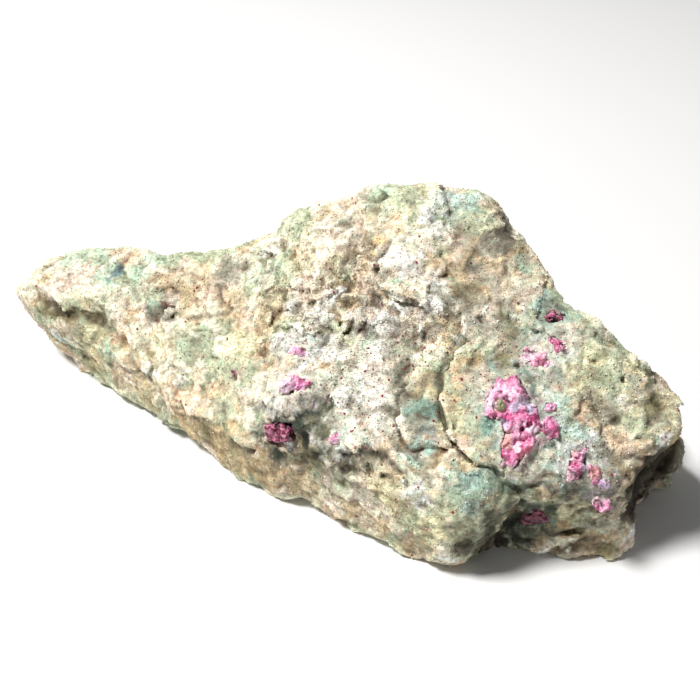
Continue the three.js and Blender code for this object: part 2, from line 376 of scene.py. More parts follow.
# how far each skin stands out past the CAD faces, and how much it is bent, in millimetres
USUAL_GROWTH = 0.2
RUBY_GROWTH = {"ruby_cluster": 0.25, "ruby_in_throat": 0.9, "ruby_low_centre": 0.35, "ruby_under_knob": 0.1,
               "ruby_shelf_lilac": 0.5, "ruby_shelf_front": 0.35, "ruby_shelf_fringe": 0.4}
USUAL_BEND = 0.6
RUBY_BEND = {"ruby_cluster": 0.4, "ruby_shelf_lilac": 0.15}
UNDER_KNOB_RADIUS = 3.15
CLUSTER_EYE = (34.4, -29.6, 31.3)
CLUSTER_CLEFTS = [((38.4, -32.6, 29.6), (40, -33, 29.4)), ((38.7, -33, 28.8), (39.2, -35, 27.6)),
                  ((36.6, -35, 27.6), (38.4, -35.2, 27.3)), ((38.4, -37.5, 26.3), (37.6, -39.4, 24.9)),
                  ((42, -31.5, 30.5), (42.3, -35, 28.5))]
# three tints for each colour of ruby: the middle one, the pale one and the deep one
RUBY_TINTS = {
    "ruby_pink": (linear(226, 128, 174), linear(246, 206, 226), linear(182, 60, 112)),
    "ruby_rose": (linear(224, 146, 176), linear(244, 206, 220), linear(190, 92, 124)),
    "ruby_pale": (linear(234, 168, 204), linear(246, 222, 236), linear(206, 112, 158)),
    "ruby_crimson": (linear(128, 30, 66), linear(206, 120, 156), linear(62, 10, 30)),
    "ruby_lilac": (linear(214, 190, 218), linear(238, 226, 242), linear(176, 130, 170)),
    "ruby_maroon": (linear(110, 22, 45), linear(180, 80, 100), linear(60, 10, 22)),
}
RUBY_SLOTS = {
    "ruby_pink": ["ruby_cluster", "ruby_shelf_top", "ruby_shelf_front", "ruby_shelf_edge", "ruby_on_knob",
                  "ruby_back_large", "ruby_back_heel"],
    "ruby_rose": ["ruby_above_cluster", "ruby_shelf_fringe", "ruby_back_wing"],
    "ruby_pale": ["ruby_beside_cluster", "ruby_above_knob", "ruby_low_centre"],
    "ruby_crimson": ["ruby_shelf_dark", "ruby_in_throat", "ruby_under_knob", "ruby_back_small"],
    "ruby_lilac": ["ruby_shelf_lilac"],
    "ruby_maroon": ["ruby_wing_dark"],
}
slot_of = {name: slot for slot, names in RUBY_SLOTS.items() for name in names}
PINKS = {
    "frost": linear(250, 226, 240), "petal": linear(244, 186, 216), "rose": linear(226, 126, 174),
    "magenta": linear(198, 66, 126), "wine": linear(128, 30, 70), "plum": linear(84, 46, 56),
    "salmon": linear(244, 172, 164), "brick": linear(200, 96, 116), "lilac": linear(206, 198, 224),
    "smoke": linear(136, 134, 150), "olive": linear(160, 156, 120), "coral": linear(226, 116, 92),
    "orchid": linear(224, 136, 198), "pine": linear(60, 62, 58), "mist": linear(214, 212, 206),
}
# crystals that sit in shaded hollows
DARK_SEATS = ("ruby_under_knob", "ruby_in_throat", "ruby_shelf_dark", "ruby_back_small")
# where each colour shows on a crystal: tint, place, radius, share, in the stone's millimetres
# most zones are the crystals' own colours; some frost zones are painted highlights, and the plum and wine
# zones in the cluster's clefts and down its right flank are painted shade
RUBY_ZONES = {
    "ruby_cluster": [
        ("petal", (32.9, -26.3, 32.6), 1.8, 0.7), ("frost", (32.3, -28.8, 31.4), 1.4, 0.8),
        ("petal", (31.8, -29.9, 30), 1.4, 0.7), ("magenta", (33.1, -30.9, 29.3), 1.5, 0.7),
        ("rose", (36.9, -25.7, 34.4), 1.6, 0.6), ("petal", (37.9, -26.3, 34.1), 1.3, 0.7),
        ("magenta", (38.6, -27.4, 33.4), 1.2, 0.8), ("petal", (35.9, -26.8, 33.5), 1.4, 0.7),
        ("frost", (36.8, -27.8, 32.4), 1.2, 0.9), ("frost", (37.9, -29.1, 32.2), 1.0, 0.7),
        ("lilac", (37.2, -30.2, 31.5), 1.2, 0.9), ("smoke", (39.2, -29.8, 31.9), 1.1, 0.9),
        ("lilac", (39.9, -30.8, 31.3), 1.1, 0.8), ("rose", (38.3, -31.8, 30.5), 1.3, 0.8),
        ("magenta", (39.5, -32.4, 30.2), 1.1, 0.9), ("wine", (39, -32.9, 29.2), 0.8, 0.9),
        ("magenta", (36, -31.4, 30.4), 1.2, 0.7), ("magenta", (35.2, -31.7, 30.1), 1.0, 0.7),
        ("lilac", (34.9, -32.7, 28.9), 1.2, 0.8), ("petal", (37.2, -34.1, 28.4), 1.4, 0.8),
        ("salmon", (34.4, -35.3, 27.4), 1.5, 0.9), ("salmon", (35.5, -36.1, 27.1), 1.2, 0.9),
        ("frost", (40.3, -33.9, 28.9), 1.2, 1.0), ("frost", (40.9, -34.6, 27.9), 1.1, 1.0),
        ("salmon", (35.2, -34.4, 28), 1.2, 0.8), ("brick", (37.3, -37.4, 26.3), 1.7, 0.75),
        ("rose", (35.8, -37.8, 25.7), 1.5, 0.8),
        ("brick", (39.3, -37.3, 26.4), 1.6, 0.9), ("wine", (38.2, -38.7, 25.3), 0.9, 0.8),
        ("frost", (37.2, -36.3, 27), 1.0, 0.9), ("petal", (36.7, -39.5, 24.5), 1.0, 0.9),
        ("rose", (43.1, -33.3, 30), 1.3, 0.8), ("magenta", (44, -34.4, 29.4), 1.2, 0.7),
        ("wine", (43, -35.2, 28.7), 1.0, 0.7), ("rose", (43.7, -35.4, 28.5), 0.9, 0.6),
        # painted shade: plum down the cluster's right flank, which faces away from the lamp
        ("plum", (40.2, -26.6, 32.8), 1.0, 0.8), ("plum", (41.2, -28.4, 31.8), 1.1, 0.9),
        ("plum", (42, -31.4, 30.2), 0.9, 0.9), ("plum", (42.2, -33.2, 29), 0.8, 0.9),
        ("plum", (40.9, -28.4, 32.2), 1.0, 0.8), ("wine", (42.4, -34.6, 28.6), 0.8, 0.8),
        ("olive", (34.4, -29.6, 31.3), 1.3, 1.0), ("plum", (35.8, -28.6, 31.9), 0.7, 0.9),
        ("plum", (34.9, -28.2, 32.4), 0.6, 0.7), ("coral", (31.9, -26.8, 31.6), 0.7, 1.0),
    ],
    "ruby_on_knob": [
        ("frost", (-7.9, -18.5, 27.1), 2.0, 0.8), ("petal", (-6.7, -18.4, 27.5), 1.4, 0.7),
        ("orchid", (-5.2, -18.8, 26.9), 1.4, 0.8), ("frost", (-5.6, -20.2, 26), 1.4, 0.7),
        ("wine", (-3.6, -19.4, 26.4), 0.9, 0.8),
    ],
    "ruby_shelf_front": [
        ("salmon", (47.6, -36.7, 25.4), 1.2, 0.6), ("petal", (49.8, -37.1, 25.1), 1.4, 0.6),
        ("magenta", (48.3, -38, 24), 1.2, 0.8), ("lilac", (49.8, -38.5, 23.3), 0.8, 0.9),
        ("wine", (48.3, -39.3, 22.3), 0.9, 0.7),
    ],
    "ruby_shelf_fringe": [("salmon", (52.2, -38.6, 22.2), 1.2, 0.8), ("plum", (51.3, -39, 20.4), 0.9, 0.7)],
    "ruby_shelf_edge": [("plum", (53.4, -40.9, 16), 1.3, 0.85), ("plum", (53.8, -40.5, 14.7), 1.1, 0.9),
                        ("rose", (54.9, -41.3, 16.8), 1.0, 0.5)],
    # painted shade and its own dark crimson: the throat's crystal is dark wine all over
    "ruby_in_throat": [("wine", (42, -38.8, 10.5), 3.4, 1.0)],
    "ruby_low_centre": [("salmon", (2, -28.2, 21.8), 1.0, 0.8), ("frost", (3.4, -28.7, 21.6), 0.8, 0.8)],
    "ruby_above_cluster": [("frost", (40.9, -20.6, 36.4), 1.2, 0.7),
                           ("petal", (42.4, -19.8, 36.6), 1.2, 0.6)],
    "ruby_above_knob": [("orchid", (-5.6, -9.5, 28.4), 1.2, 0.7), ("petal", (-7, -8.4, 28.2), 1.3, 0.7)],
}

ruby_material, tree, surface, node = shader("ruby")
place = node("ShaderNodeTexCoord").outputs["Object"]
tint = node("ShaderNodeAttribute", attribute_name="ruby_tint").outputs["Color"]
grain = node("ShaderNodeTexNoise", {"Vector": place, "Scale": 3600.0, "Detail": 3.0, "Roughness": 0.65})
light = stretched(node, grain.outputs["Fac"], 0.32, 0.7, 0.7, 1.3)
tree.links.new(times(node, tint, light), surface.inputs["Base Color"])
rise = node("ShaderNodeBump", {"Height": grain.outputs["Fac"], "Strength": 0.6, "Distance": 0.0002})
tree.links.new(rise.outputs["Normal"], surface.inputs["Normal"])
surface.inputs["Roughness"].default_value = 0.34
surface.inputs["IOR"].default_value = 1.7
surface.inputs["Subsurface Weight"].default_value = 0.2
surface.inputs["Subsurface Radius"].default_value = (1.0, 0.4, 0.6)
surface.inputs["Subsurface Scale"].default_value = 0.0005


def crystal_grains(spots, size, number):
    """The crystal's small broken faces at some places: two sizes, each its own height and tilt."""
    spots = spots + 0.22 * size * swirl(spots, 0.8 * size, 50 + number, 7)
    return plates(spots / size, 100 + number), plates(spots / (0.5 * size), 200 + number)


ruby_lattices = {}
stone = lattice_of("schist_matrix", 0.6, 2.5)
for number, (name, (size, height, pitch, most)) in enumerate(RUBIES.items()):
    ruby = lattice_of(name, pitch, RUBY_REACH)
    ruby_lattices[name] = Lattice(ruby.distance.copy(), ruby.start, pitch)
    ruby.distance = softened(ruby.distance, 0.12 / pitch)
    index = np.nonzero(np.abs(ruby.distance) < RUBY_SKIN)
    spots = rows_of(ruby.axes(), ruby.distance.shape, index)
    bend = RUBY_BEND.get(name, USUAL_BEND) * swirl(spots, 2.2, 20 + number, 7)
    bend += 0.3 * swirl(spots, 0.9, 40 + number, 7)
    away = ruby.at(spots + bend)
    if name == "ruby_under_knob":
        middle = cad_shape(name)[0]
        middle = (middle.min(0) + middle.max(0)) / 2
        away = np.maximum(away, np.sqrt(((spots + 0.5 * bend - middle) ** 2).sum(1)) - UNDER_KNOB_RADIUS)
    grains, small = crystal_grains(spots, size, number)
    bumps = height * (1.2 * (grains[0] - 0.55) + 1.3 * grains[2] - 0.35 * np.exp(-(grains[1] / 0.08) ** 2))
    bumps += 0.5 * height * (0.8 * (small[0] - 0.5) + 1.2 * small[2])
    if name == "ruby_cluster":
        broad, _ = crystal_grains(spots, 2.3, number + 60)
        lower = step(-spots[:, 1], 32.5, 34.5) * step(-spots[:, 0], -42.5, -41.5)
        faces = 1.1 * (broad[0] - 0.5) + 1.6 * broad[2] - 0.5 * np.exp(-(broad[1] / 0.07) ** 2)
        bumps = bumps * (1 - 0.75 * lower) + lower * 0.8 * faces
        ring = np.sqrt(((spots - np.array(CLUSTER_EYE, np.float32)) ** 2).sum(1))
        bumps -= 0.7 * np.exp(-((ring - 1.3) / 0.4) ** 2)
        for cleft in CLUSTER_CLEFTS:
            bumps -= 0.8 * np.exp(-(path_distance(spots.T, cleft) / 0.3) ** 2)
    ruby.distance[index] = away - bumps - RUBY_GROWTH.get(name, USUAL_GROWTH)
    ruby.distance = softened(ruby.distance, 0.45)
    places, quads = ruby.skin()
    piece = solid(name + "_crystal", places, quads, most)
    spots = vertex_places(piece)
    grains, small = crystal_grains(spots, size, number)
    base, pale, deep = RUBY_TINTS[slot_of[name]]
    share = 0.5 + 0.6 * (grains[0] - 0.5) + 0.5 * (small[0] - 0.5) + 0.3 * rolling(spots, 2.0, 300 + number)
    # in the shaded seats the raised tops of the grains are painted paler, as painted highlights
    if name in DARK_SEATS:
        share = 0.45 + 0.9 * (grains[0] - 0.5) + 0.7 * (small[0] - 0.5) + 0.8 * grains[2]
    share = np.clip(share + 0.25 * rolling(spots, 0.4, 320 + number), 0, 1)[:, None]
    colour = np.where(share > 0.5, base + (pale - base) * (share - 0.5) * 2, deep + (base - deep) * share * 2)
    drift = spots + 0.35 * swirl(spots, 0.9, 340)
    for tint_name, middle, radius, strength in RUBY_ZONES.get(name, []):
        away = np.sqrt(((drift - np.array(middle, np.float32)) ** 2).sum(1))
        away = away + 0.35 * (small[0] - 0.5) * radius
        weight = (step(-away, -1.2 * radius, -0.7 * radius) * strength)[:, None]
        colour += (PINKS[tint_name] * (0.75 + 0.5 * share) - colour) * weight
    # painted shade: in the shaded seats the duller grains are darkened and the clefts between grains are
    # painted nearly black; on the other crystals the clefts are painted a little darker
    if name in DARK_SEATS:
        colour *= (0.25 + 0.75 * step(grains[0], 0.12, 0.4))[:, None]
        colour *= 1 - 0.6 * np.exp(-(grains[1] / 0.06) ** 2)[:, None]
    else:
        colour *= 1 - 0.35 * np.exp(-(grains[1] / 0.07) ** 2)[:, None]
    crust = stone.at(spots) + 0.5 * rolling(spots, 0.8, 360) + 0.3 * rolling(spots, 0.35, 361)
    crust = (step(-crust, -0.75, -0.15) * (0.12 if name in DARK_SEATS else 0.6))[:, None]
    shade = step(rolling(spots, 1.6, 362), 0.3, 0.8)[:, None] if name in DARK_SEATS else 1.0
    colour += (PINKS["pine"] * (1 - shade) + PINKS["mist"] * shade - colour) * crust
    paint(piece, "ruby_tint", np.clip(colour, 0.005, 0.95))
    piece.data.materials.append(ruby_material)
    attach(piece, "root")
    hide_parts(name)

# The block: one rough wedge of pale green and cream mica schist, broken from its bed along the mica's
# own sheets. Its skin is the CAD solid's, softened, warped a little and then broken again into slabs,
# plates, lumps, pits and cracks. Its weathered tints lie in patches over it, and painted shade lies in its
# hollows, creases, pits, throat and bite, under its knob and its lip, with some patches painted lighter
# where it lies in shade.
PITCH = 0.42
REACH = 6.0
SOFTENING = 1.1


def swell(lattice, size, seed):
    """Smooth noise over the lattice, one swell about every size millimetres, spread 1."""
    random = np.random.default_rng(seed)
    weights = []
    for count in lattice.distance.shape:
        at = np.arange(count) * lattice.pitch / size
        knot = np.floor(at).astype(int)
        t = at - knot
        blend = np.stack([(1 - t) ** 3, 3 * t ** 3 - 6 * t ** 2 + 4,
                          -3 * t ** 3 + 3 * t ** 2 + 3 * t + 1, t ** 3], 1) / 6
        table = np.zeros((count, knot[-1] + 4), np.float32)
        for k in range(4):
            table[np.arange(count), knot + k] = blend[:, k]
        weights.append(table)
    knots = random.standard_normal([table.shape[1] for table in weights]).astype(np.float32)
    field = np.tensordot(weights[0], knots, (1, 0))
    field = np.tensordot(field, weights[1], (1, 1))
    field = np.tensordot(field, weights[2], (1, 1))
    return field / field.std()


MICA_SHEETS_FACE = Vector((-0.14, -0.52, 0.84)).normalized()
along_the_sheets = np.array(MICA_SHEETS_FACE.to_track_quat("Z", "Y").to_matrix(), np.float32)

block = lattice_of("schist_matrix", PITCH, REACH)
sharp = block.distance
block.distance = softened(block.distance, SOFTENING / PITCH)
warp = [0.9 * swell(block, 5, SEED + i) + 0.4 * swell(block, 2.2, SEED + 10 + i) for i in range(3)]


def warped(box, share=1.0):
    """The three axes of a box of lattice points, moved by the warp."""
    return [line + share * warp[i][box] for i, line in enumerate(block.axes(box))]


def carried(points, share=1.0):
    """Where the warp takes places given in the stone's own millimetres."""
    points = np.atleast_2d(np.array(points, np.float32))
    return points + share * np.stack([block.at(points, field) for field in warp], 1)


relief = 0.45 * swell(block, 12, 1) + 0.3 * swell(block, 6, 2)


def bulge(place, radius, height):
    """Raises a round swelling, or sinks one where the height is negative."""
    box = block.box(place, 2.5 * radius)
    middle = carried(place)[0]
    away = sum((line - middle[i]) ** 2 for i, line in enumerate(warped(box)))
    relief[box] += height * np.exp(-away / (2 * radius ** 2))


def groove(path, width, depth):
    """A soft channel that bends with the warp."""
    box = block.box(path, 3 * width + 2)
    away = path_distance(warped(box), carried(path))
    relief[box] -= depth * np.exp(-(away / width) ** 2)


def crack(path, width, depth):
    """A thin channel that keeps nearly to its path."""
    box = block.box(path, 3 * width + 1)
    away = path_distance(warped(box, 0.3), carried(path, 0.3))
    relief[box] -= depth * np.exp(-(away / width) ** 2)


def hollow(path, radius):
    """Takes a round tunnel's width of stone away along a path."""
    box = block.box(path, radius + 3)
    away = path_distance(warped(box), carried(path))
    block.distance[box] = np.maximum(block.distance[box], radius - away)


def ball(place, radius, blend):
    """Adds a round lump, its foot filled in over a few millimetres."""
    box = block.box(place, radius + 6)
    middle = carried(place, 0.6)[0]
    away = np.sqrt(sum((line - middle[i]) ** 2 for i, line in enumerate(warped(box, 0.6)))) - radius
    stone_here = block.distance[box]
    mix = np.clip(0.5 + 0.5 * (stone_here - away) / blend, 0, 1)
    block.distance[box] = stone_here * (1 - mix) + away * mix - blend * mix * (1 - mix)


def within(corners, box):
    """Signed distances to the flat-sided lump with these corners, over a box of the lattice."""
    points = carried(corners, 0.5)
    sides = set()
    for a, b, c in itertools.combinations(points, 3):
        out = np.cross(b - a, c - a)
        size = np.linalg.norm(out)
        if size < 1e-3:
            continue
        out = out / size
        reach = (points - a) @ out
        if reach.max() > 1e-3 and reach.min() < -1e-3:
            continue
        sign = 1 if reach.max() <= 1e-3 else -1
        sides.add(tuple(np.round([*(sign * out), float(sign * (out @ a))], 4)))
    place = warped(box, 0.5)
    deepest = None
    for x, y, z, off in sorted(sides):
        away = x * place[0] + y * place[1] + z * place[2] - off
        deepest = away if deepest is None else np.maximum(deepest, away)
    return deepest


bitten = np.full_like(block.distance, 9)


def bite(corners):
    """Breaks a flat-sided lump out of the stone."""
    box = block.box(np.array(corners, np.float32), 3)
    cut = within(corners, box)
    bitten[box] = np.minimum(bitten[box], cut)
    block.distance[box] = np.maximum(block.distance[box], -cut)


def ledge(outline, lift, drop, lean=0.3):
    """A slab with a broken edge along its outline, each point [x, y, z, how much the edge shows]."""
    points = carried([point[:3] for point in outline])
    shows = np.array([point[3] for point in outline], np.float32)
    middle = points.mean(0)
    across, along, out = np.linalg.svd(points - middle)[2]
    if out[2] < 0:
        out = -out
    box = block.box(points, 9)
    place = [line - middle[i] for i, line in enumerate(warped(box))]
    u, v, w = (sum(axis[i] * place[i] for i in range(3)) for axis in (across, along, out))
    corners = np.stack([(points - middle) @ across, (points - middle) @ along], 1)
    nearest = np.full(u.shape, 1e9, np.float32)
    strength = np.zeros(u.shape, np.float32)
    inside = np.zeros(u.shape, bool)
    for i in range(len(corners)):
        start, end = corners[i - 1], corners[i]
        run = end - start
        share = ((u - start[0]) * run[0] + (v - start[1]) * run[1]) / float(run @ run)
        share = np.clip(share, 0, 1)
        away = (u - start[0] - share * run[0]) ** 2 + (v - start[1] - share * run[1]) ** 2
        closer = away < nearest
        nearest = np.where(closer, away, nearest)
        strength = np.where(closer, shows[i - 1] + share * (shows[i] - shows[i - 1]), strength)
        crosses = (start[1] > v) != (end[1] > v)
        inside ^= crosses & (u < start[0] + (v - start[1]) / (run[1] + 1e-9) * run[0])
    side = np.sqrt(nearest) * np.where(inside, -1, 1) - lean * w
    edge = np.clip(side / 0.6 + 0.5, 0, 1)
    edge = edge * edge * (3 - 2 * edge)
    rise = lift * np.exp(np.minimum(side, 0) / 5)
    fall = drop * np.exp(-np.maximum(side, 0) / 3.5)
    flat = np.exp(-(w / 5) ** 2)
    relief[box] += strength * flat * (rise * (1 - edge) - fall * edge)
    relief[box] -= strength * flat * 0.7 * np.exp(-((side - 0.45) / 0.35) ** 2)


# the three slabs, on the peak, round the cluster and below it
ledge([(20.4, 4.5, 52, 0.3), (17, 4, 51, 0.4), (14.2, 2.2, 49.5, 0.5), (12, 0.8, 47.1, 0.7),
       (11, -1.8, 44.4, 0.8), (10.8, -3, 41.3, 1), (12.4, -4.6, 40, 1), (15.4, -7.5, 40.8, 0.9),
       (18.2, -8.2, 40.6, 0.8), (20.6, -9.4, 40.4, 0.5), (25, -9.5, 42, 0), (30, -6, 45, 0), (33, -1, 48, 0),
       (30, 4, 50.5, 0.1), (24, 6.5, 51.5, 0.2)], 0.6, 0.8)
ledge([(33.5, -15.5, 37.5, 0.3), (28.5, -16, 36, 0.7), (26.5, -18, 34.5, 0.8), (25, -20, 33, 0.8),
       (23.5, -23, 31.5, 0.9), (23, -25.5, 30.5, 1), (23.5, -29.5, 28.5, 1), (24, -32.5, 26.5, 1),
       (26, -34.5, 25.5, 1), (27.5, -36, 25, 1), (30, -38, 24.5, 1), (33, -38.5, 24, 1),
       (35, -40, 21.5, 1), (37, -40.5, 20.5, 0.8), (42, -40.5, 20.5, 0.4), (44, -36, 24.5, 0.1),
       (42, -28, 31.5, 0.1), (38, -18, 36.5, 0.1)], 0.4, 0.7)
ledge([(16.5, -23, 29.5, 0.6), (15.5, -26.5, 27.5, 1), (15, -29, 26, 1), (15.5, -31.5, 25, 1),
       (17, -34, 24, 1), (20, -33.5, 24, 1), (22.5, -34.5, 24.5, 1), (25.5, -34, 26, 0.7),
       (24, -29, 28.5, 0.1), (22, -24, 30.5, 0.1)], 0.3, 0.35)
# the nose, and the channels that part it from the shelf and the foot
bulge((29, -40.5, 17), 6, 1.6)
bulge((26, -42, 11), 5, 0.8)
groove([(36.7, -39.8, 19.3), (38.4, -40.1, 20.1), (40.7, -39.8, 19.8), (42.4, -39.9, 20.2), (44.3, -40, 18.9),
        (44.6, -40.5, 17.8)], 0.7, 1.1)
hollow([(25, -47.5, 7.5), (28.5, -47, 8), (33, -45, 8)], 2.4)
groove([(34.5, -39, 21.9), (36.6, -39.6, 19.7), (37.9, -40, 18), (38.3, -39.8, 15.5), (37.6, -39.2, 12),
        (36.8, -38.8, 7), (34.4, -38.8, 2)], 0.9, 1.4)
bulge((36, -41.2, 17), 1.8, 0.8)
bulge((34.2, -41.6, 14), 2.2, 0.9)
# the foot
bulge((42.5, -40.3, 7.6), 1.4, 0.6)
bulge((46.5, -40.2, 8.4), 1.5, 0.7)
bulge((50.5, -39.8, 9), 1.5, 0.7)
hollow([(38.2, -39.6, 1.5), (40.3, -40.4, 3.3), (42.1, -40.3, 4.9), (43.9, -40.3, 6.1), (46.2, -40.2, 6.1),
        (48.8, -39.7, 6.3), (50.4, -39.4, 6.6), (51.6, -39.6, 7.2)], 0.9)
bulge((43.8, -40.6, 3.2), 2.2, 0.8)
crack([(52.6, -40, 9.4), (56, -40.5, 9), (59.5, -40.5, 8)], 0.6, 0.8)
groove([(46.1, -41.1, 0.4), (47.8, -41.4, 2.4), (49.8, -40.8, 3.2), (51.9, -40.9, 3.6), (53.7, -40.7, 4.7),
        (55.5, -40.5, 5.8)], 1.0, 1.4)
# the bite broken out of the blunt end
bite([(58.8, -39.2, 15.8), (61.2, -37.2, 20.5), (63.4, -35.2, 23.6), (71, -31, 26.5), (62.5, -34, 7),
      (66, -28, 5), (71.5, -23, 8), (75, -22, 18), (66, -28, 15), (66, -48, 14), (70, -45, 24), (80, -40, 26),
      (70, -42, 5), (80, -30, 6), (84, -30, 18)])
for place, height in [((75.5, -20, 11.5), 1.3), ((74, -23, 4.5), -1.5), ((71.5, -25, 2.5), -1.8),
                      ((68.5, -28, 2), -1.2)]:
    bulge(place, 2.4, height)
# the lip along the wing's front edge and the channel under it
groove([(-75.5, 25, 21.5), (-70, 23.5, 24.5), (-64.5, 21.5, 25), (-58, 18.5, 24.5), (-52, 15.5, 23.5),
        (-49, 12.5, 22.5), (-46.5, 9, 20.5), (-43.5, 4.5, 17.5), (-40.5, -0.5, 15), (-36.5, -5, 13.8),
        (-32, -9, 13), (-28, -12.5, 13.5), (-22, -16.5, 14), (-17.5, -20, 13)], 1.7, -0.8)
groove([(-70, 21.5, 21.5), (-66, 19, 20.5), (-62, 16.5, 20), (-56.5, 13.8, 19.8), (-51, 11.4, 20.2)],
       1.5, 1.7)
groove([(-51, 11.2, 19.6), (-47.5, 7.5, 17.5), (-45, 2.5, 14.5), (-41.5, -3.5, 11), (-37, -8, 9.5),
        (-27, -15.8, 9.4), (-20, -20.2, 9.6)], 1.8, 0.9)
# the knob, the hollow under it and the channels round it
ball((-7.2, -17.2, 21.2), 4.9, 1.2)
hollow([(-12.5, -23.2, 16.5), (-8, -25.6, 16.5), (-4.5, -26.3, 18.2)], 1.7)
groove([(-5, -25.2, 19), (-1.2, -24, 22.3), (1, -21.5, 24.8)], 2.0, 0.6)
groove([(1, -21.5, 24.8), (2, -18, 26.5), (0.5, -14.5, 28)], 1.6, 0.4)
groove([(-9.3, -25.1, 13), (-7.5, -26.1, 13), (-5.2, -26.5, 13.1), (-3.4, -27, 14.6), (-2.2, -27.7, 15.7),
        (1.1, -29.6, 18.5), (4.4, -31.2, 19.8), (6.6, -34, 21.8)], 0.8, 0.9)
groove([(7.5, -33.1, 22.9), (9.8, -33.5, 22.2), (11.8, -34.5, 22.5), (13.2, -35.5, 21.5), (15, -37.5, 20.8),
        (16.9, -39.4, 20.8)], 0.8, 0.8)
groove([(-5, -27.6, 11.6), (0, -30.8, 14), (5, -33.6, 15), (12, -37.2, 17.5)], 1.4, 0.6)
# the peak and the corner of the shelf
bulge((11, 13.5, 53.5), 3, 1.0)
bulge((21, 10, 54.5), 3, 0.8)
bulge((29, 10, 55), 3, 0.8)
hollow([(40, 9, 53.5), (41, 4, 51.5), (42, 0, 49.5), (41.5, -4, 47.5)], 2.8)
bulge((44, -2.5, 46), 2.6, 1.5)
bulge((69, -31.5, 26), 2.2, 1.0)
# pits, sunk and painted dark as painted shade: tint, place, radius, depth, how dark
PITS = [
    ("umber", (4, -0.5, 39.8), 2.2, 2.4, 0.9), ("umber", (6, -3.5, 38), 1.6, 1.6, 0.7),
    ("pine", (4, 12, 48.3), 1.3, 1.5, 0.8), ("ash", (4, 14.5, 50.5), 1.2, 1, 0.6),
    ("umber", (-2, -5, 32.2), 1.2, 1.2, 0.6), ("umber", (1, -5.5, 33.2), 1.3, 1.4, 0.6),
    ("umber", (4, -9.7, 31.7), 1.2, 1.2, 0.6), ("umber", (5.5, -7.5, 33.5), 1.3, 1, 0.5),
    ("olive", (-4, -2, 33.2), 1.2, 1, 0.6), ("ash", (-24.5, 12, 31), 1.3, 1, 0.7),
    ("ash", (-20.5, 17, 36), 1.6, 0.8, 0.6), ("ash", (-15, 12.5, 36.7), 1.3, 0.8, 0.6),
    ("umber", (-29.3, -11.6, 10.7), 1, 0.8, 0.6), ("olive", (10, 12.5, 52.5), 1.4, 1.1, 0.7),
    ("umber", (9, -4.5, 40), 1.8, 1.8, 0.7), ("olive", (-1.5, 2, 38), 1.6, 1.2, 0.5),
    ("umber", (8, -3, 40.8), 1.2, 1.4, 0.6), ("umber", (20.5, -10, 40), 1.2, 1, 0.6),
    ("umber", (23, -12, 37.5), 1.5, 1.4, 0.75), ("pine", (27.5, -8, 43), 2.2, 1.2, 0.6),
    ("olive", (29, 2, 49.5), 2, 1, 0.6), ("pine", (32, -13, 38.8), 1.6, 1.4, 0.65),
    ("umber", (28.5, -15.2, 36.3), 1, 1.2, 0.6), ("umber", (36.5, -13, 39.8), 1.5, 1.2, 0.6),
    ("umber", (38.3, -15, 39), 1.5, 1.2, 0.6), ("olive", (31, -3, 46.6), 1.8, 0.9, 0.6),
    ("pine", (15.2, -18.3, 31), 2.2, 1.6, 0.75), ("umber", (35.2, -40.8, 20.5), 1.3, 1.4, 0.95),
    ("umber", (53, -30, 30.5), 0.8, 0.8, 0.6), ("umber", (51, -28.5, 32), 0.8, 0.6, 0.5),
    ("olive", (54.7, -30.5, 29.7), 1, 0.6, 0.6), ("umber", (63, -24.3, 35.5), 1.8, 1.8, 0.9),
    ("olive", (60, -29, 30.6), 1, 0.5, 0.4), ("olive", (64.7, -28.6, 30.7), 2.4, 1.3, 0.85),
    ("pine", (44.3, -14.2, 40.2), 1.4, 1.1, 0.7), ("pine", (-0.7, -21.4, 25.2), 1.4, 1, 0.6),
    ("pine", (-5, -24, 20.5), 2.2, 0.4, 0.8), ("umber", (-7.4, -26.2, 15.4), 1.8, 0.5, 0.8),
    ("umber", (5, -32.5, 19), 1.4, 0.8, 0.6), ("umber", (-1, -29.2, 16.8), 1.5, 0.5, 0.7),
    ("umber", (31, -43.5, 8), 3, 0.2, 1), ("umber", (-26, -14, 5.5), 1.5, 0.8, 0.6),
    ("pine", (-39, 12.5, 26), 1.2, 0.7, 0.4), ("olive", (-41, 10.5, 23.2), 1.1, 0.6, 0.5),
    ("pine", (-45, 16.5, 27), 1.4, 0.7, 0.5), ("olive", (1, 3.5, 41), 1.6, 1, 0.5),
    ("olive", (-3.5, 8, 40.5), 1.5, 0.8, 0.45), ("ash", (7, 6.5, 47), 1.8, 0.8, 0.5),
    ("olive", (13.3, -10.8, 35.7), 1.3, 1, 0.5), ("umber", (17.4, -14, 34.2), 1.2, 1, 0.5),
    ("olive", (48, -20, 37.5), 1.4, 0.8, 0.5), ("pine", (45, -24, 34.5), 1.2, 0.6, 0.6),
]
for tint_name, place, radius, depth, share in PITS:
    bulge(place, radius, -0.7 * depth)
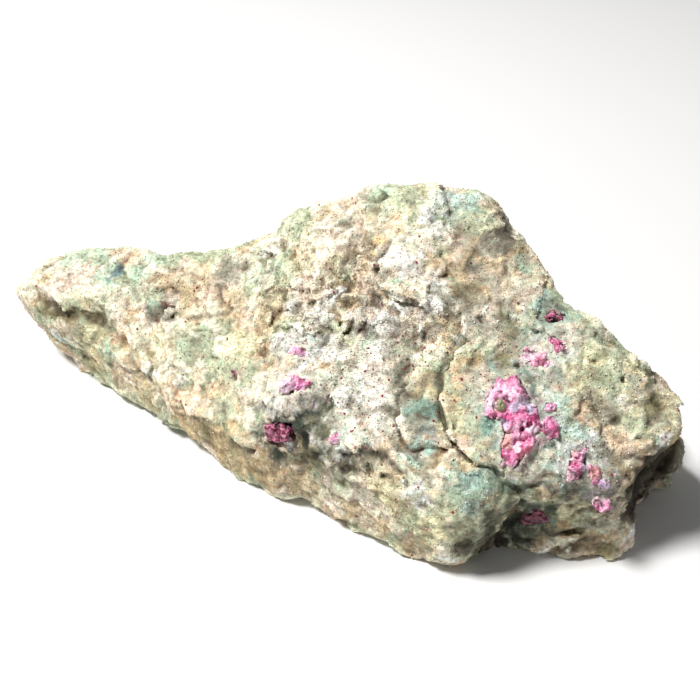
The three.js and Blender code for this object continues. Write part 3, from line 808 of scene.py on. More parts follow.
# cracks and the feet of the slabs: path, width, depth, how dark
# the darkness along them is partly dark joints and partly painted shade; the line under the foot's ledge,
# which has no depth, is painted shadow only
CRACKS = [
    ([(-31.8, 1.1, 20.6), (-28.5, -4.1, 18.1), (-25.5, -7.1, 17.7)], 0.35, 0.8, 0.5),
    ([(-22.8, -12, 16.3), (-22.3, -14.5, 15), (-21.5, -16.5, 13.8)], 0.4, 1.6, 1.0),
    ([(-28, -12.7, 12.4), (-24.3, -15.3, 12.9), (-21.5, -16.8, 13.8)], 0.45, 0.9, 0.7),
    ([(-31.5, 7.5, 25), (-28.5, 7, 26), (-25, 6.5, 27.5)], 0.45, 0.9, 0.6),
    ([(26.4, -15.3, 35.7), (24, -18.4, 33.3), (22.7, -22.1, 31.6), (22.8, -26.6, 30.2), (23.3, -30.1, 28.1),
      (24.5, -33, 26.3), (26.3, -35.5, 25.1), (29, -38, 24.2), (32.3, -39.7, 22.8), (35.2, -40.8, 20.5)],
     0.4, 0.5, 0.75),
    ([(50.6, -32.2, 28.7), (53, -34.8, 25.8), (55, -37.2, 22.8), (56.4, -38.8, 20.4)], 0.5, 1.1, 0.7),
    ([(52, -27, 33.3), (53.7, -29.8, 30.5), (54.5, -31.5, 28.7)], 0.6, 1.0, 0.7),
    ([(11, -4, 41.5), (14.5, -7.2, 41.6), (18, -8.2, 41.3), (20.5, -9.8, 40.3), (22, -11, 39)],
     0.5, 0.5, 0.7),
    ([(12.4, 1, 46.5), (11.2, -2, 43.5)], 0.35, 0.4, 0.5),
    ([(15, -26.5, 27.3), (14.6, -29, 25.8), (15, -31.7, 24.6), (16.8, -34.5, 23.6), (20, -34.2, 23.4),
      (22.5, -35, 24)], 0.4, 0.4, 0.7),
    ([(-10.4, -23.8, 14.6), (-9.3, -25.1, 13), (-7.5, -26.1, 13), (-5.2, -26.5, 13.1), (-3.4, -27, 14.6),
      (-2.2, -27.7, 15.7), (1.1, -29.6, 18.5), (4.4, -31.2, 19.8), (6.6, -34, 21.8)], 0.45, 0.4, 0.85),
    ([(7.5, -33.1, 22.9), (9.8, -33.5, 22.2), (11.8, -34.5, 22.7), (13.2, -35.5, 21.7), (15, -37.5, 21)],
     0.5, 0.3, 0.7),
    ([(3.5, -32.3, 17.1), (4.5, -32.9, 16.2), (4.1, -33, 15.2)], 0.35, 0.6, 0.8),
    ([(11.4, -37.1, 19.6), (12.2, -36.1, 20.3)], 0.35, 0.8, 0.9),
    ([(44.3, -14.5, 40), (42, -16.5, 38.5)], 0.4, 0.6, 0.5),
    ([(-10, -26, 12), (-12.5, -24.5, 9.5)], 0.35, 0.7, 0.5),
    ([(38.2, -39.6, 1.8), (40.3, -40.4, 3.6), (42.1, -40.3, 5.2), (43.9, -40.3, 6.5), (46.2, -40.2, 6.5),
      (48.8, -39.7, 6.7), (50.4, -39.4, 7), (51.6, -39.6, 7.6), (53.3, -39.7, 8.8)], 0.6, 0.0, 0.95),
    ([(46.1, -41.1, 0.4), (47.8, -41.4, 2.4), (49.8, -40.8, 3.2), (51.9, -40.9, 3.6), (53.7, -40.7, 4.7)],
     0.9, 0.0, 0.65),
    ([(36.7, -39.8, 19.3), (38.4, -40.1, 20.2), (40.7, -39.8, 19.9), (42.4, -39.9, 20.4), (44.3, -40, 19),
      (44.6, -40.5, 17.9)], 0.4, 0.2, 0.85),
    ([(-3.5, -29, 2.5), (-0.5, -30, 1), (3.5, -33, 2), (7, -35.5, 2.5)], 0.4, 0.7, 0.6),
]
for path, width, depth, share in CRACKS:
    crack(path, width, depth)

# where the stone is broken rough, and where it is smooth
USUAL_ROUGHNESS = 0.34
rough = np.full_like(relief, USUAL_ROUGHNESS)


def roughen(place, radius, share):
    """Makes the stone rougher round a place, or smoother where the share is negative."""
    box = block.box(place, 2.5 * radius)
    away = sum((line - place[i]) ** 2 for i, line in enumerate(block.axes(box)))
    rough[box] += share * np.exp(-away / (2 * radius ** 2))


# more or less than the usual roughness: place, radius, how much
for place, radius, share in [((0, 0, 37), 9, 0.6), ((8, -6, 37), 8, 0.55), ((-12, 4, 33), 8, 0.2),
                             ((24, -14, 36), 6, 0.45), ((5, -22, 26), 8, 0.25), ((18, 0, 47), 6, -0.15),
                             ((12, -37, 12), 8, 0.15), ((55, -36, 24), 6, 0.25), ((27, -40, 15), 8, -0.1),
                             ((28, -28, 29), 5, -0.15), ((-38, 12, 26), 6, 0.2), ((68, -28, 15), 8, -0.2),
                             ((20, 60, 20), 30, 0.3), ((-30, 50, 15), 25, 0.3), ((60, 20, 25), 20, 0.3)]:
    roughen(place, radius, share)


def breakage(spots):
    """The small broken shapes of the stone at warped places: three sizes of plate, each with its own
    number and how far its edge is, and two sizes of rounded lump."""
    turned = spots @ along_the_sheets
    slab = plates(turned / np.array([7.5, 6.0, 2.6], np.float32), SEED + 30)
    plate = plates(turned / np.array([3.3, 2.9, 1.6], np.float32), SEED + 31)
    chip = plates(turned / np.array([1.6, 1.5, 1.1], np.float32), SEED + 32)
    return slab, plate, chip, np.abs(rolling(spots, 3.6, SEED + 33)), np.abs(rolling(spots, 1.7, SEED + 34))


BROKEN_SKIN = 2.4
index = np.nonzero(np.abs(block.distance - relief) < BROKEN_SKIN)
spots = rows_of(warped((slice(None),) * 3), relief.shape, index)
rough_here = rough[index]
slab, plate, chip, lump, pebble = breakage(spots)
broken = np.zeros_like(relief)
slabs = 0.9 * (slab[0] - 0.5) + 1.3 * slab[2] - 0.25 * np.exp(-(slab[1] / 0.12) ** 2)
flakes = 1.2 * (plate[0] - 0.5) + 1.6 * plate[2] - 0.5 * np.exp(-(plate[1] / 0.15) ** 2)
broken[index] = slabs + rough_here * (flakes + 0.9 * (np.minimum(lump, 0.6) - 0.3))
broken = softened(broken, 0.6)
broken[index] += rough_here * (0.6 * (chip[0] - 0.5) + 0.9 * chip[2] + 0.5 * (np.minimum(pebble, 0.6) - 0.3))
relief += softened(broken, 0.4)


def block_points(ruby, margin):
    """The box of the block's lattice round a ruby, the box's shape and its points."""
    box = block.box(np.stack(ruby.ends()), margin)
    shape = relief[box].shape
    return box, shape, rows_of(block.axes(box), shape)


# round each ruby the stone keeps to the CAD's own faces, so that the crystal stays in view
SEAT_WIDTH = 1.2
for ruby in ruby_lattices.values():
    box, shape, spots = block_points(ruby, 3.0)
    low, high = ruby.ends()
    half = (high - low) / 2 - RUBY_REACH
    beyond = np.maximum(np.abs(spots - (low + high) / 2) - half, 0)
    outside = np.sqrt((beyond ** 2).sum(1))
    away = np.where(outside > 0.8, outside, ruby.at(spots)).reshape(shape)
    blend = np.exp(-(np.maximum(away, 0) / SEAT_WIDTH) ** 2)
    relief[box] *= 1 - 0.6 * blend
    block.distance[box] = block.distance[box] * (1 - blend) + sharp[box] * blend

block.distance -= relief
# each ruby's seat is cut out a hair larger than the ruby, and its rim is rounded over
SEAT_FILLET = 1.2
SEAT_GAP = 0.08
unpocketed = block.distance.copy()
for ruby in ruby_lattices.values():
    box, shape, spots = block_points(ruby, 0)
    away = ruby.at(spots).reshape(shape)
    stone_here = block.distance[box]
    mix = np.clip(0.5 + 0.5 * (stone_here - away) / SEAT_FILLET, 0, 1)
    block.distance[box] = np.maximum(stone_here - SEAT_FILLET * mix * (1 - mix), -(away + SEAT_GAP))
# the sole is cut flat where it stands
block.distance = np.maximum(block.distance, -block.axes()[2])

places, quads = block.skin()
# only the largest joined part is kept: crumbs that the hollows cut loose are left out
part = np.arange(len(places))
while True:
    lower = part.copy()
    np.minimum.at(lower, quads.ravel(), np.repeat(part[quads].min(1), 4))
    lower = lower[lower]
    if (lower == part).all():
        break
    part = lower
keep = part == np.bincount(part).argmax()
quads = (np.cumsum(keep) - 1)[quads[keep[quads[:, 0]]]]
places = places[keep]
BLOCK_TRIANGLES = 196000
schist_block = solid("schist_block", places, quads, BLOCK_TRIANGLES)
spots = vertex_places(schist_block)

PALETTE = {
    "cream": linear(242, 236, 212),
    "straw": linear(236, 228, 186),
    "tan": linear(212, 188, 152),
    "peach": linear(238, 200, 166),
    "blush": linear(236, 216, 200),
    "sage": linear(190, 198, 166),
    "mint": linear(186, 214, 188),
    "teal": linear(132, 166, 152),
    "slate": linear(108, 134, 138),
    "ice": linear(196, 226, 218),
    "chalk": linear(240, 238, 234),
    "ash": linear(150, 146, 130),
    "clay": linear(188, 164, 122),
    "olive": linear(124, 116, 82),
    # the umber and the loam below are used mostly for painted shade; the loam is also the bite's own dark
    # rock
    "umber": linear(44, 36, 24),
    "pine": linear(44, 54, 44),
    "rock": linear(108, 102, 88),
    "moss": linear(88, 88, 66),
    "bark": linear(72, 60, 40),
    "loam": linear(62, 54, 38),
    "garnet": linear(118, 26, 40),
    "mauve": linear(132, 104, 110),
}
# stains, weathered patches, painted shade and painted light, later ones over earlier ones: tint, place,
# radius, how strong
# the dark ones in the throat, the bite, under the knob and its fold, under the wing's lip, on the peak's
# right facet and down the cluster's right flank are painted shade; some cream and chalk ones on stone that
# lies in shade are painted light
STAINS = [
    ("chalk", (5, -18, 28), 7, 0.4), ("chalk", (12, -28, 26), 6, 0.4), ("ash", (10, -10, 34), 6, 0.25),
    ("chalk", (-5, -8, 28.5), 6, 0.45), ("blush", (6, -13, 31), 5, 0.3),
    ("mint", (-61.5, 27.5, 28.5), 4.5, 0.8), ("mint", (-55, 27, 30), 4, 0.8),
    ("cream", (-74, 24.5, 23), 4, 0.9), ("mint", (-52.5, 22, 28.5), 3, 0.8),
    ("mint", (-45, 20, 29.5), 3, 0.8), ("slate", (-49, 21.5, 29), 2, 0.95),
    ("peach", (-47.5, 23.5, 30.5), 2, 0.7), ("mint", (-42, 24, 32), 3.5, 0.8),
    ("blush", (-61.5, 22, 25.5), 4.5, 0.8), ("cream", (-50, 16.5, 25), 3, 1),
    ("ash", (-43, 16, 27.5), 2.8, 0.5), ("teal", (-39.5, 12, 25), 2.5, 0.6),
    ("ash", (-41.5, 10.5, 23), 2.2, 0.6), ("teal", (-42, 13, 25), 2, 0.5), ("tan", (-31, 17, 32), 5, 0.7),
    ("blush", (-34, 18, 31), 2.5, 0.6), ("ash", (-23, 14.5, 33.5), 3.2, 0.8),
    ("mint", (-17, 11, 34.5), 3.2, 0.5), ("tan", (-21, 8, 30), 5, 0.8), ("tan", (-13.5, 2, 31), 5.5, 0.8),
    ("ash", (-14, 5, 33), 2.5, 0.5), ("blush", (-6, 1.5, 35), 5, 0.7),
    ("chalk", (-1.5, -3.5, 33.5), 4, 0.7), ("cream", (-27, 7.5, 27), 2.5, 0.9),
    ("cream", (-29.5, 8, 26), 2, 0.6), ("straw", (-41, 5.5, 19), 4.5, 0.8),
    ("cream", (-38, 1, 17), 4.5, 0.8), ("cream", (-44, 9, 21), 3, 0.6), ("sage", (-34, 5, 22.5), 3, 0.6),
    ("mint", (-33, 3, 21.5), 2, 0.5), ("ash", (-29.5, 3.5, 23.5), 2.2, 0.5),
    ("straw", (-19.5, -2.5, 25.5), 4.5, 0.75), ("cream", (-24, -1, 24), 3.5, 0.6),
    ("peach", (-31, -6, 15), 4, 0.9), ("peach", (-26.5, -7, 17), 2.5, 0.9),
    ("peach", (-35, -6, 13), 2.2, 0.8), ("cream", (-29, -6.5, 16), 1.8, 0.9),
    ("peach", (-47, 9, 19.5), 2.5, 0.9), ("sage", (-22, -14.5, 15.5), 3, 0.8),
    # painted shade: the olive under the wing's lip, here and on the next two lines
    ("straw", (-24, -10, 17), 3, 0.6), ("olive", (-67, 19, 20), 3.5, 0.8),
    ("olive", (-62, 16.5, 19), 3.5, 0.8), ("olive", (-56, 12.5, 18.5), 3.5, 0.75),
    ("ash", (-63.5, 18, 18), 2, 0.6), ("olive", (-50, 8, 17.5), 2, 0.6),
    ("chalk", (-67, 18.5, 11), 3, 0.85), ("mint", (-64, 17.5, 9), 2.5, 0.6),
    ("slate", (-66, 18, 10.5), 1.3, 0.85), ("mint", (-52.5, 8.5, 16), 2, 0.8),
    ("teal", (-52, 8, 14), 1.5, 0.6), ("sage", (-54, 11, 18), 3, 0.6), ("clay", (-47, 4.5, 15.5), 4, 0.7),
    ("blush", (-49.5, 6, 10), 3.5, 0.7), ("olive", (-40, -3, 12), 3, 0.7), ("olive", (-57, 12, 12), 3, 0.5),
    ("clay", (-58, 13, 8), 5, 0.7), ("clay", (-50, 6, 9), 5, 0.6), ("clay", (-43, 0, 7), 5, 0.7),
    ("clay", (-22, -19, 6), 5, 0.8), ("clay", (-5, -28, 7), 5, 0.7), ("clay", (-33.5, -8.5, 7), 5.5, 0.9),
    ("clay", (-26, -14.5, 8), 5.5, 0.9), ("olive", (-29, -12, 9), 3.5, 0.6),
    ("olive", (-36, -6, 8), 3, 0.6), ("clay", (-14, -23, 9), 6.5, 0.9), ("olive", (-18, -20, 8), 4, 0.5),
    ("umber", (-7.5, -26, 15), 2, 0.5), ("olive", (-2, -28, 15.5), 3.5, 0.6),
    ("ash", (2, -31.5, 12.5), 4.5, 0.6), ("chalk", (2, -32, 5.5), 2, 0.7), ("tan", (1, -31.5, 2), 3, 0.9),
    ("chalk", (-8, -6, 28), 4, 0.9), ("chalk", (-2.5, -10.5, 29), 4.5, 0.8),
    ("chalk", (1, -9.5, 31), 3.5, 0.7), ("teal", (-11, -6, 27), 2, 0.7), ("teal", (-3, -8, 28.5), 1.8, 0.5),
    ("cream", (-12, -16, 20.5), 3, 0.7), ("teal", (-11, -15, 24), 1.8, 0.6),
    # painted shade: the pine on the knob's lower right side, here and on the next line
    ("chalk", (-10, -19.5, 21.5), 3.5, 0.8), ("pine", (-2.5, -22.8, 22.3), 2.6, 0.9),
    ("pine", (-5.5, -24.2, 19.5), 2.4, 0.95), ("pine", (0.3, -21.5, 24.5), 1.8, 0.8),
    ("teal", (1, -23, 23), 2.5, 0.8), ("teal", (2.5, -21.5, 26), 2.5, 0.7),
    ("mint", (3, -25.5, 23), 3, 0.6), ("teal", (3, -29.5, 20.5), 3.5, 0.7),
    ("mint", (11.5, 13.5, 54), 4.5, 0.6), ("sage", (17, 11.5, 54.5), 4.5, 0.7),
    ("sage", (15.5, 9, 52.5), 3.5, 0.6), ("blush", (5.5, 16, 52.5), 4.5, 0.7),
    ("cream", (3, 14, 49), 3, 0.6), ("ice", (26, 9.5, 55), 3.8, 0.85), ("ice", (31, 9.5, 54.5), 3.5, 0.85),
    ("ash", (24, 7.5, 53), 2, 0.5), ("peach", (13.5, 7, 51), 2.5, 0.85), ("blush", (16, 6, 50.5), 2, 0.6),
    ("mint", (26, 5.5, 51.5), 4, 0.5), ("sage", (31, 5.5, 52), 4, 0.7), ("ash", (30, 3, 50.5), 3, 0.4),
    ("tan", (35.5, 10.5, 54), 3, 0.7), ("blush", (34, 10, 54.5), 2, 0.5),
    # painted shade: on the peak's right facet, which faces away from the lamp
    ("umber", (38.5, 5, 51), 2.8, 0.9), ("umber", (38.5, 8.5, 52.5), 2.4, 0.8),
    ("umber", (39, 1.5, 49), 2, 0.8), ("olive", (42, 1, 48.5), 3, 0.7),
    ("cream", (15.5, 2, 48.5), 3.5, 0.85), ("cream", (20, 4, 50), 3, 0.7), ("sage", (24, 1, 48), 2.5, 0.6),
    ("blush", (25.5, 2.5, 49.5), 2.5, 0.8), ("chalk", (16, -1, 46.5), 3.2, 0.9),
    ("mint", (14, -5, 43.5), 2, 0.9), ("chalk", (22.5, -6.5, 43.5), 3, 0.7),
    ("blush", (20, -5, 44), 2.5, 0.6), ("olive", (30, -1, 48), 3, 0.6), ("olive", (29, -8, 43), 3, 0.6),
    ("tan", (35.5, -5, 45.5), 3.5, 0.6), ("mint", (41.5, -4, 46), 2.6, 0.8),
    ("blush", (40.5, -10, 42.5), 2.8, 0.8), ("ash", (43.5, -12.5, 41), 2.5, 0.7),
    ("mint", (48.5, -15, 40.5), 2, 0.9), ("sage", (47, -10, 42.5), 3.5, 0.6),
    ("mint", (53, -16, 40.5), 3, 0.4), ("sage", (50, -22, 37), 4.5, 0.75),
    ("sage", (58, -25, 35), 4.5, 0.75), ("sage", (54.5, -20, 38.5), 4, 0.7),
    ("straw", (59, -26, 33.5), 0.9, 0.9), ("peach", (64.5, -25.5, 34), 2.4, 0.8),
    ("straw", (68, -29, 29.5), 4, 0.85), ("straw", (67, -32, 27), 3.5, 0.85),
    ("cream", (69.5, -30, 28), 1.5, 0.7), ("peach", (46.5, -26.5, 33), 1.8, 0.8),
    ("peach", (49, -29.5, 31.5), 1.8, 0.7), ("olive", (52, -29, 31.5), 2.5, 0.8),
    ("blush", (51.5, -33.5, 27.5), 2.2, 0.85), ("blush", (50, -31.5, 29.5), 1.6, 0.7),
    ("peach", (57.5, -34.5, 26), 3.2, 0.75), ("blush", (60.5, -36, 24), 3, 0.75),
    ("tan", (56, -32, 28), 2.5, 0.5), ("ice", (48.5, -33, 28), 2, 0.7), ("teal", (31, -29, 29.5), 1.8, 0.9),
    ("teal", (32, -32.5, 27.5), 1.8, 0.9), ("ice", (30, -26, 31.5), 1.8, 0.5),
    ("ice", (33.5, -35.5, 26.5), 1.8, 0.7), ("teal", (34, -38.5, 24), 1.8, 0.7),
    ("pine", (39, -24.5, 33.5), 1.3, 0.8), ("straw", (27, -31, 28), 3.2, 0.8),
    ("straw", (30, -36.5, 25), 2.8, 0.8), ("cream", (33, -39, 23.5), 1.6, 0.8),
    ("cream", (28, -27, 30.5), 2.2, 0.7), ("peach", (26.5, -22.5, 32.5), 2.5, 0.8),
    ("tan", (29, -20, 34), 2.5, 0.6), ("sage", (32.5, -17.5, 36), 4, 0.85),
    ("olive", (37, -18, 36.5), 2.5, 0.6), ("chalk", (7, -7, 35.5), 3.5, 0.6),
    ("chalk", (12, -9, 37), 3.5, 0.8), ("mint", (8.5, -10.5, 33), 2.5, 0.5),
    ("chalk", (13, -14, 33), 4, 0.7), ("ash", (16.5, -18, 31.5), 2.5, 0.7),
    ("olive", (19.5, -13.5, 35), 2.5, 0.6), ("teal", (17.5, -27, 28), 2.6, 0.85),
    ("slate", (20.5, -31.5, 26.5), 2.2, 0.7), ("ice", (19.5, -33, 25), 1.6, 0.8),
    ("teal", (16, -31, 25.5), 1.8, 0.6), ("straw", (18, -24, 29.5), 2, 0.8),
    ("teal", (23, -28, 28.5), 2.2, 0.6), ("teal", (18.5, -35.5, 22.5), 2.8, 0.6),
    ("teal", (25, -40, 22.5), 3.2, 0.75), ("teal", (30, -42, 20.5), 3, 0.8),
    ("mint", (25.5, -39, 23), 1.6, 0.8), ("mint", (17, -36, 22.5), 1.8, 0.7),
    ("sage", (28, -43.5, 17), 5, 0.7), ("sage", (22, -42, 16), 4.5, 0.7), ("mint", (20, -40, 19), 3, 0.4),
    ("straw", (11, -37, 18), 3.5, 0.75), ("straw", (7, -34.5, 18.5), 3, 0.5),
    ("straw", (14, -39, 14), 4, 0.5), ("olive", (27, -44.5, 11), 4.5, 0.6),
    ("cream", (13.5, -39.5, 8), 1.5, 0.95), ("tan", (25.5, -44.5, 2), 3.5, 0.9),
    ("tan", (18, -42, 5), 4, 0.7), ("tan", (10, -37.5, 5), 4, 0.6), ("olive", (22, -43.5, 11), 3.5, 0.5),
    # painted shade: in the throat beside the nose and under the nose
    ("pine", (40, -38.5, 14), 2.5, 0.8), ("pine", (44, -38.5, 11), 2.5, 0.7),
    ("umber", (36.6, -39, 8), 1.7, 0.95), ("umber", (37.8, -39.2, 12), 1.2, 0.8),
    ("umber", (35.6, -38.9, 4.5), 1.9, 0.95), ("umber", (34, -39.2, 2), 2.2, 0.95),
    ("bark", (32, -40.5, 4.5), 2, 0.85), ("bark", (33.1, -41.3, 8.8), 1.8, 0.6),
    ("bark", (31, -42.8, 6.1), 1.6, 0.5), ("bark", (29.5, -43, 2), 2, 0.8),
    ("straw", (49.5, -40, 14.5), 3.5, 0.75), ("straw", (54.5, -39.5, 13.5), 3, 0.6),
    ("sage", (47, -40, 12), 2.5, 0.6), ("tan", (47.5, -41, 3.5), 5.5, 0.95),
    ("tan", (55.5, -41.5, 4), 5.5, 0.95), ("peach", (60, -41, 4), 3, 0.6),
    # the bite: its own dark rock and painted shade
    ("loam", (63.5, -33, 16), 5.5, 1), ("loam", (66, -29, 9), 7, 1), ("loam", (73, -23.5, 10), 8, 0.95),
    ("loam", (68, -29.5, 18.5), 5.5, 1), ("loam", (74, -24, 18), 6, 0.95),
    ("loam", (63.5, -34, 8), 4.5, 0.9), ("tan", (-6, 9.5, 40), 5, 0.5), ("blush", (0.5, 11, 45.5), 4, 0.5),
    ("mint", (-11.5, 11, 37.5), 3, 0.4), ("ash", (11.5, -1.5, 44.5), 3, 0.6),
    ("ash", (23.5, -10, 40.5), 3, 0.6), ("teal", (25.5, -13, 37.5), 1.6, 0.3),
    ("chalk", (29.5, -12, 39), 2.5, 0.5), ("chalk", (4, -21, 26.5), 3.5, 0.6),
    ("chalk", (11, -23.5, 27.5), 3, 0.6), ("chalk", (9, -19, 29), 3, 0.5), ("teal", (8, -30.5, 23), 2, 0.5),
    ("blush", (13, -31.5, 24.5), 3, 0.6), ("olive", (-51, 11.4, 20.2), 2, 0.7),
    ("straw", (-58.9, 13.3, 16.5), 3.5, 0.8), ("mint", (-42, 14, 26.5), 2.2, 0.5),
    ("peach", (-37, -6, 11.5), 3, 0.9), ("cream", (-39.5, -1.5, 14.5), 2.5, 0.7),
    # painted shade: the knob's lower right side and the fold below it
    ("pine", (-4.6, -24, 20.6), 2.2, 0.9), ("pine", (-2, -23.6, 22.4), 2.6, 1),
    ("ash", (-1.7, -21.5, 24.8), 2.5, 0.9), ("ash", (-2.2, -19, 26.4), 1.6, 0.8),
    ("olive", (-0.4, -26.1, 21), 2.8, 0.9), ("olive", (1, -30.2, 18.2), 2.4, 0.9),
    ("olive", (5.8, -33, 19.4), 3, 0.75), ("olive", (9.4, -33.8, 21.8), 2.2, 0.8),
    ("ash", (0.2, -8.4, 31), 2.8, 0.6), ("ash", (3.6, -15.4, 29.3), 2.4, 0.4),
    ("clay", (0.1, 3.7, 40.4), 3, 0.6), ("clay", (6.3, 4, 44.8), 3, 0.85),
    ("clay", (9, 2.6, 46), 2.4, 0.85), ("clay", (11, 5.5, 49), 2.2, 0.5),
    ("ash", (13.1, -26.3, 27.1), 2.4, 0.7), ("ash", (14.9, -22.8, 29.3), 2.6, 0.95),
    ("clay", (17.4, -24.4, 29.6), 1.8, 0.8), ("teal", (18.7, -28.3, 28.3), 2.4, 0.9),
    ("clay", (21.1, -22.1, 31.3), 2.4, 0.8), ("sage", (15.7, -14.7, 33.4), 2.8, 0.7),
    ("ash", (33.7, 1.2, 49.5), 3, 0.8), ("ash", (35.7, -20.3, 35.2), 2.4, 0.7),
    ("olive", (64.3, -24.4, 35.3), 2.6, 0.9), ("umber", (53.7, -39.9, 12.8), 2, 0.8),
    ("pine", (52, -40.6, 16.4), 1.8, 0.7), ("ash", (52.8, -40.2, 18.3), 1.8, 0.7),
    ("teal", (50.5, -40, 19.7), 1.8, 0.6), ("teal", (55.7, -39.4, 18.1), 1.8, 0.6),
    ("mint", (25.3, 6.7, 52.6), 2.6, 0.5), ("cream", (18.9, -41.3, 16.4), 3.4, 0.85),
    ("straw", (21.6, -43.5, 13), 2.8, 0.8), ("straw", (22.3, -44.3, 9.9), 2.8, 0.8),
    ("mint", (25.5, -42.4, 20.6), 2.6, 0.8), ("mint", (28, -40.8, 22.7), 2.6, 0.8),
    ("ice", (17.6, -34.2, 23.7), 1.8, 0.7), ("straw", (24.3, -33.1, 26.3), 2.4, 0.8),
    ("cream", (18.4, -7.5, 42.2), 2.4, 0.8), ("sage", (18.8, -12.8, 35.8), 2.2, 0.6),
    ("sage", (27, -14.5, 36.6), 2.2, 0.6), ("cream", (42.6, -39, 23.8), 2.8, 0.9),
    ("ice", (45.4, -38.8, 23.4), 1.8, 0.7), ("mint", (46.5, -34.8, 27.3), 2, 0.8),
    ("peach", (49.8, -29.8, 31.2), 2, 0.8), ("straw", (50.6, -25.5, 34.7), 2.6, 0.6),
    ("straw", (51.5, -27.7, 32.9), 2, 0.7), ("clay", (52.5, -29.6, 31), 1.5, 0.6),
    ("mint", (55.3, -17.8, 40.1), 3, 0.5), ("straw", (59.5, -28.7, 31.2), 3, 0.8),
    ("straw", (60.3, -23.9, 36.4), 3, 0.6), ("cream", (65.6, -32.9, 25.9), 2.6, 0.7),
    # painted shade: the pine in the throat
    ("pine", (38.8, -38.8, 5.5), 2.6, 0.8), ("pine", (41.3, -38.8, 6.9), 2.2, 0.8),
    ("pine", (40.2, -38.8, 9.5), 2.6, 0.8), ("teal", (45.3, -39.1, 8.8), 2.2, 0.7),
    ("straw", (47, -39.2, 11), 2.6, 0.7), ("olive", (47.5, -40.6, 17), 2.2, 0.6),
    # painted shade: the pine, rock and moss round the knob's lower right side and the folds below it
    ("blush", (61.2, -40.8, 3), 2.6, 0.8), ("pine", (-0.1, -22.7, 24.2), 1.6, 0.65),
    ("pine", (-5.2, -25, 19.1), 2, 1), ("rock", (-3.2, -20.6, 25.6), 1.6, 0.6),
    ("ash", (-1.6, -17.8, 27), 2, 0.5), ("rock", (-0.6, -27.4, 19.6), 2.2, 0.65),
    ("rock", (-8.5, -26.2, 13.1), 2.2, 0.9), ("rock", (4.7, -33.2, 16.3), 2.2, 0.75),
    ("moss", (4.1, -32.7, 15.3), 1.6, 0.7), ("moss", (11.9, -36.8, 20.3), 1.5, 0.8),
    ("rock", (5.1, -31.7, 20.2), 1.8, 0.75), ("rock", (8.2, -32.6, 21.8), 1.7, 0.85),
    ("rock", (-5.3, -27.8, 12.1), 2.4, 0.6), ("moss", (-3.2, -28.1, 15.5), 1.5, 1),
    ("moss", (-10.7, -24.8, 13.5), 1.9, 1), ("ash", (0.6, -5, 33.5), 2.2, 0.6),
    ("ash", (3.6, -15.4, 29.3), 2.2, 0.5), ("rock", (5.9, 3.3, 44), 2.4, 0.5),
    ("rock", (7, -7.4, 34.7), 2.2, 0.6), ("ash", (7.1, -24.8, 25.8), 2, 0.4),
    ("rock", (8.2, -5.9, 37.2), 2.2, 0.5), ("rock", (10.3, 0.1, 44.8), 2.2, 0.5),
    ("rock", (12.9, -26.5, 26.7), 2.2, 0.5), ("rock", (15.4, -12, 35.3), 2.6, 0.6),
    ("rock", (15.5, -23, 29.2), 2.2, 0.9), ("rock", (18.2, -24.7, 29.4), 1.8, 0.6),
    ("rock", (18.5, -28.7, 27.7), 1.8, 0.5), ("rock", (21.1, -22.6, 31), 2.2, 0.6),
    ("rock", (25.7, -9, 41.8), 2.4, 0.7), ("rock", (28.5, -10.5, 40.6), 2.2, 0.6),
    ("ash", (30.8, -14.1, 37.9), 2.2, 0.6), ("ash", (33, -5.3, 45.1), 2.4, 0.7),
    ("rock", (34.4, 1.9, 49.8), 2.6, 0.6), ("rock", (37.5, 1.6, 49.5), 2.2, 0.9),
    ("ash", (34, -14.2, 38.5), 1.8, 0.5), ("rock", (35.7, -21.2, 34.7), 2.2, 0.7),
    ("rock", (46.6, -16.7, 39.4), 2, 0.6), ("rock", (54.6, -35.9, 24.5), 2, 0.7),
    ("rock", (64.1, -24.4, 35.3), 2.4, 0.8), ("rock", (-37.4, 10.5, 24.7), 2, 0.5),
    # painted shade: the bark, pine and olive beside the nose, along the foot and over the bite
    ("ash", (-36.1, 12.8, 27), 2, 0.5), ("bark", (37.3, -40.6, 18.9), 1.8, 0.8),
    ("pine", (44.6, -39, 12.4), 2, 0.8), ("bark", (48.6, -41.3, 1.6), 2, 0.8),
    ("bark", (51.3, -41.1, 3.4), 1.8, 0.9), ("bark", (56.2, -41.2, 3.2), 2, 0.65),
    ("rock", (56.9, -39, 13.9), 2.2, 0.8), ("bark", (76, -20, 13), 4, 0.9),
    ("olive", (78, -17, 18), 4, 0.7), ("bark", (74, -23, 7.5), 3.5, 0.75),
    ("bark", (70.5, -26, 4.5), 3.5, 0.75), ("bark", (66, -31, 3), 3, 0.7),
    ("ash", (64.7, -36.1, 2.9), 1.4, 0.8), ("cream", (16.5, -31.5, 25.2), 1.2, 0.7),
    ("cream", (-67.5, 18.8, 13.2), 2.6, 0.7), ("cream", (-62.1, 15.2, 12.6), 2.6, 0.6),
    ("straw", (-56.2, 17.2, 23.1), 2.4, 0.8), ("clay", (-46.5, 12.3, 23.1), 2, 0.5),
    ("cream", (-42.8, 6.3, 18.9), 2.6, 0.8), ("ash", (-38.1, 10.1, 24.1), 2, 0.6),
    ("cream", (-37.2, -6, 11.2), 2.4, 0.8), ("cream", (-31.8, -4.3, 15.9), 2.4, 0.8),
    ("ash", (-14.4, 10, 35.5), 2.2, 0.4), ("ash", (-10.4, -7.6, 26.5), 2.2, 0.4),
    ("cream", (-10.2, 15.6, 40.9), 2.6, 0.8), ("rock", (-3.2, -20.4, 25.7), 1.8, 0.7),
    ("moss", (-0.6, -25.4, 21.6), 2, 0.9), ("ash", (-0.3, -17.9, 27.1), 2.2, 0.6),
    ("ash", (3.4, -15.3, 29.2), 2.2, 0.6), ("rock", (5.3, 3.8, 43.9), 2.2, 0.5),
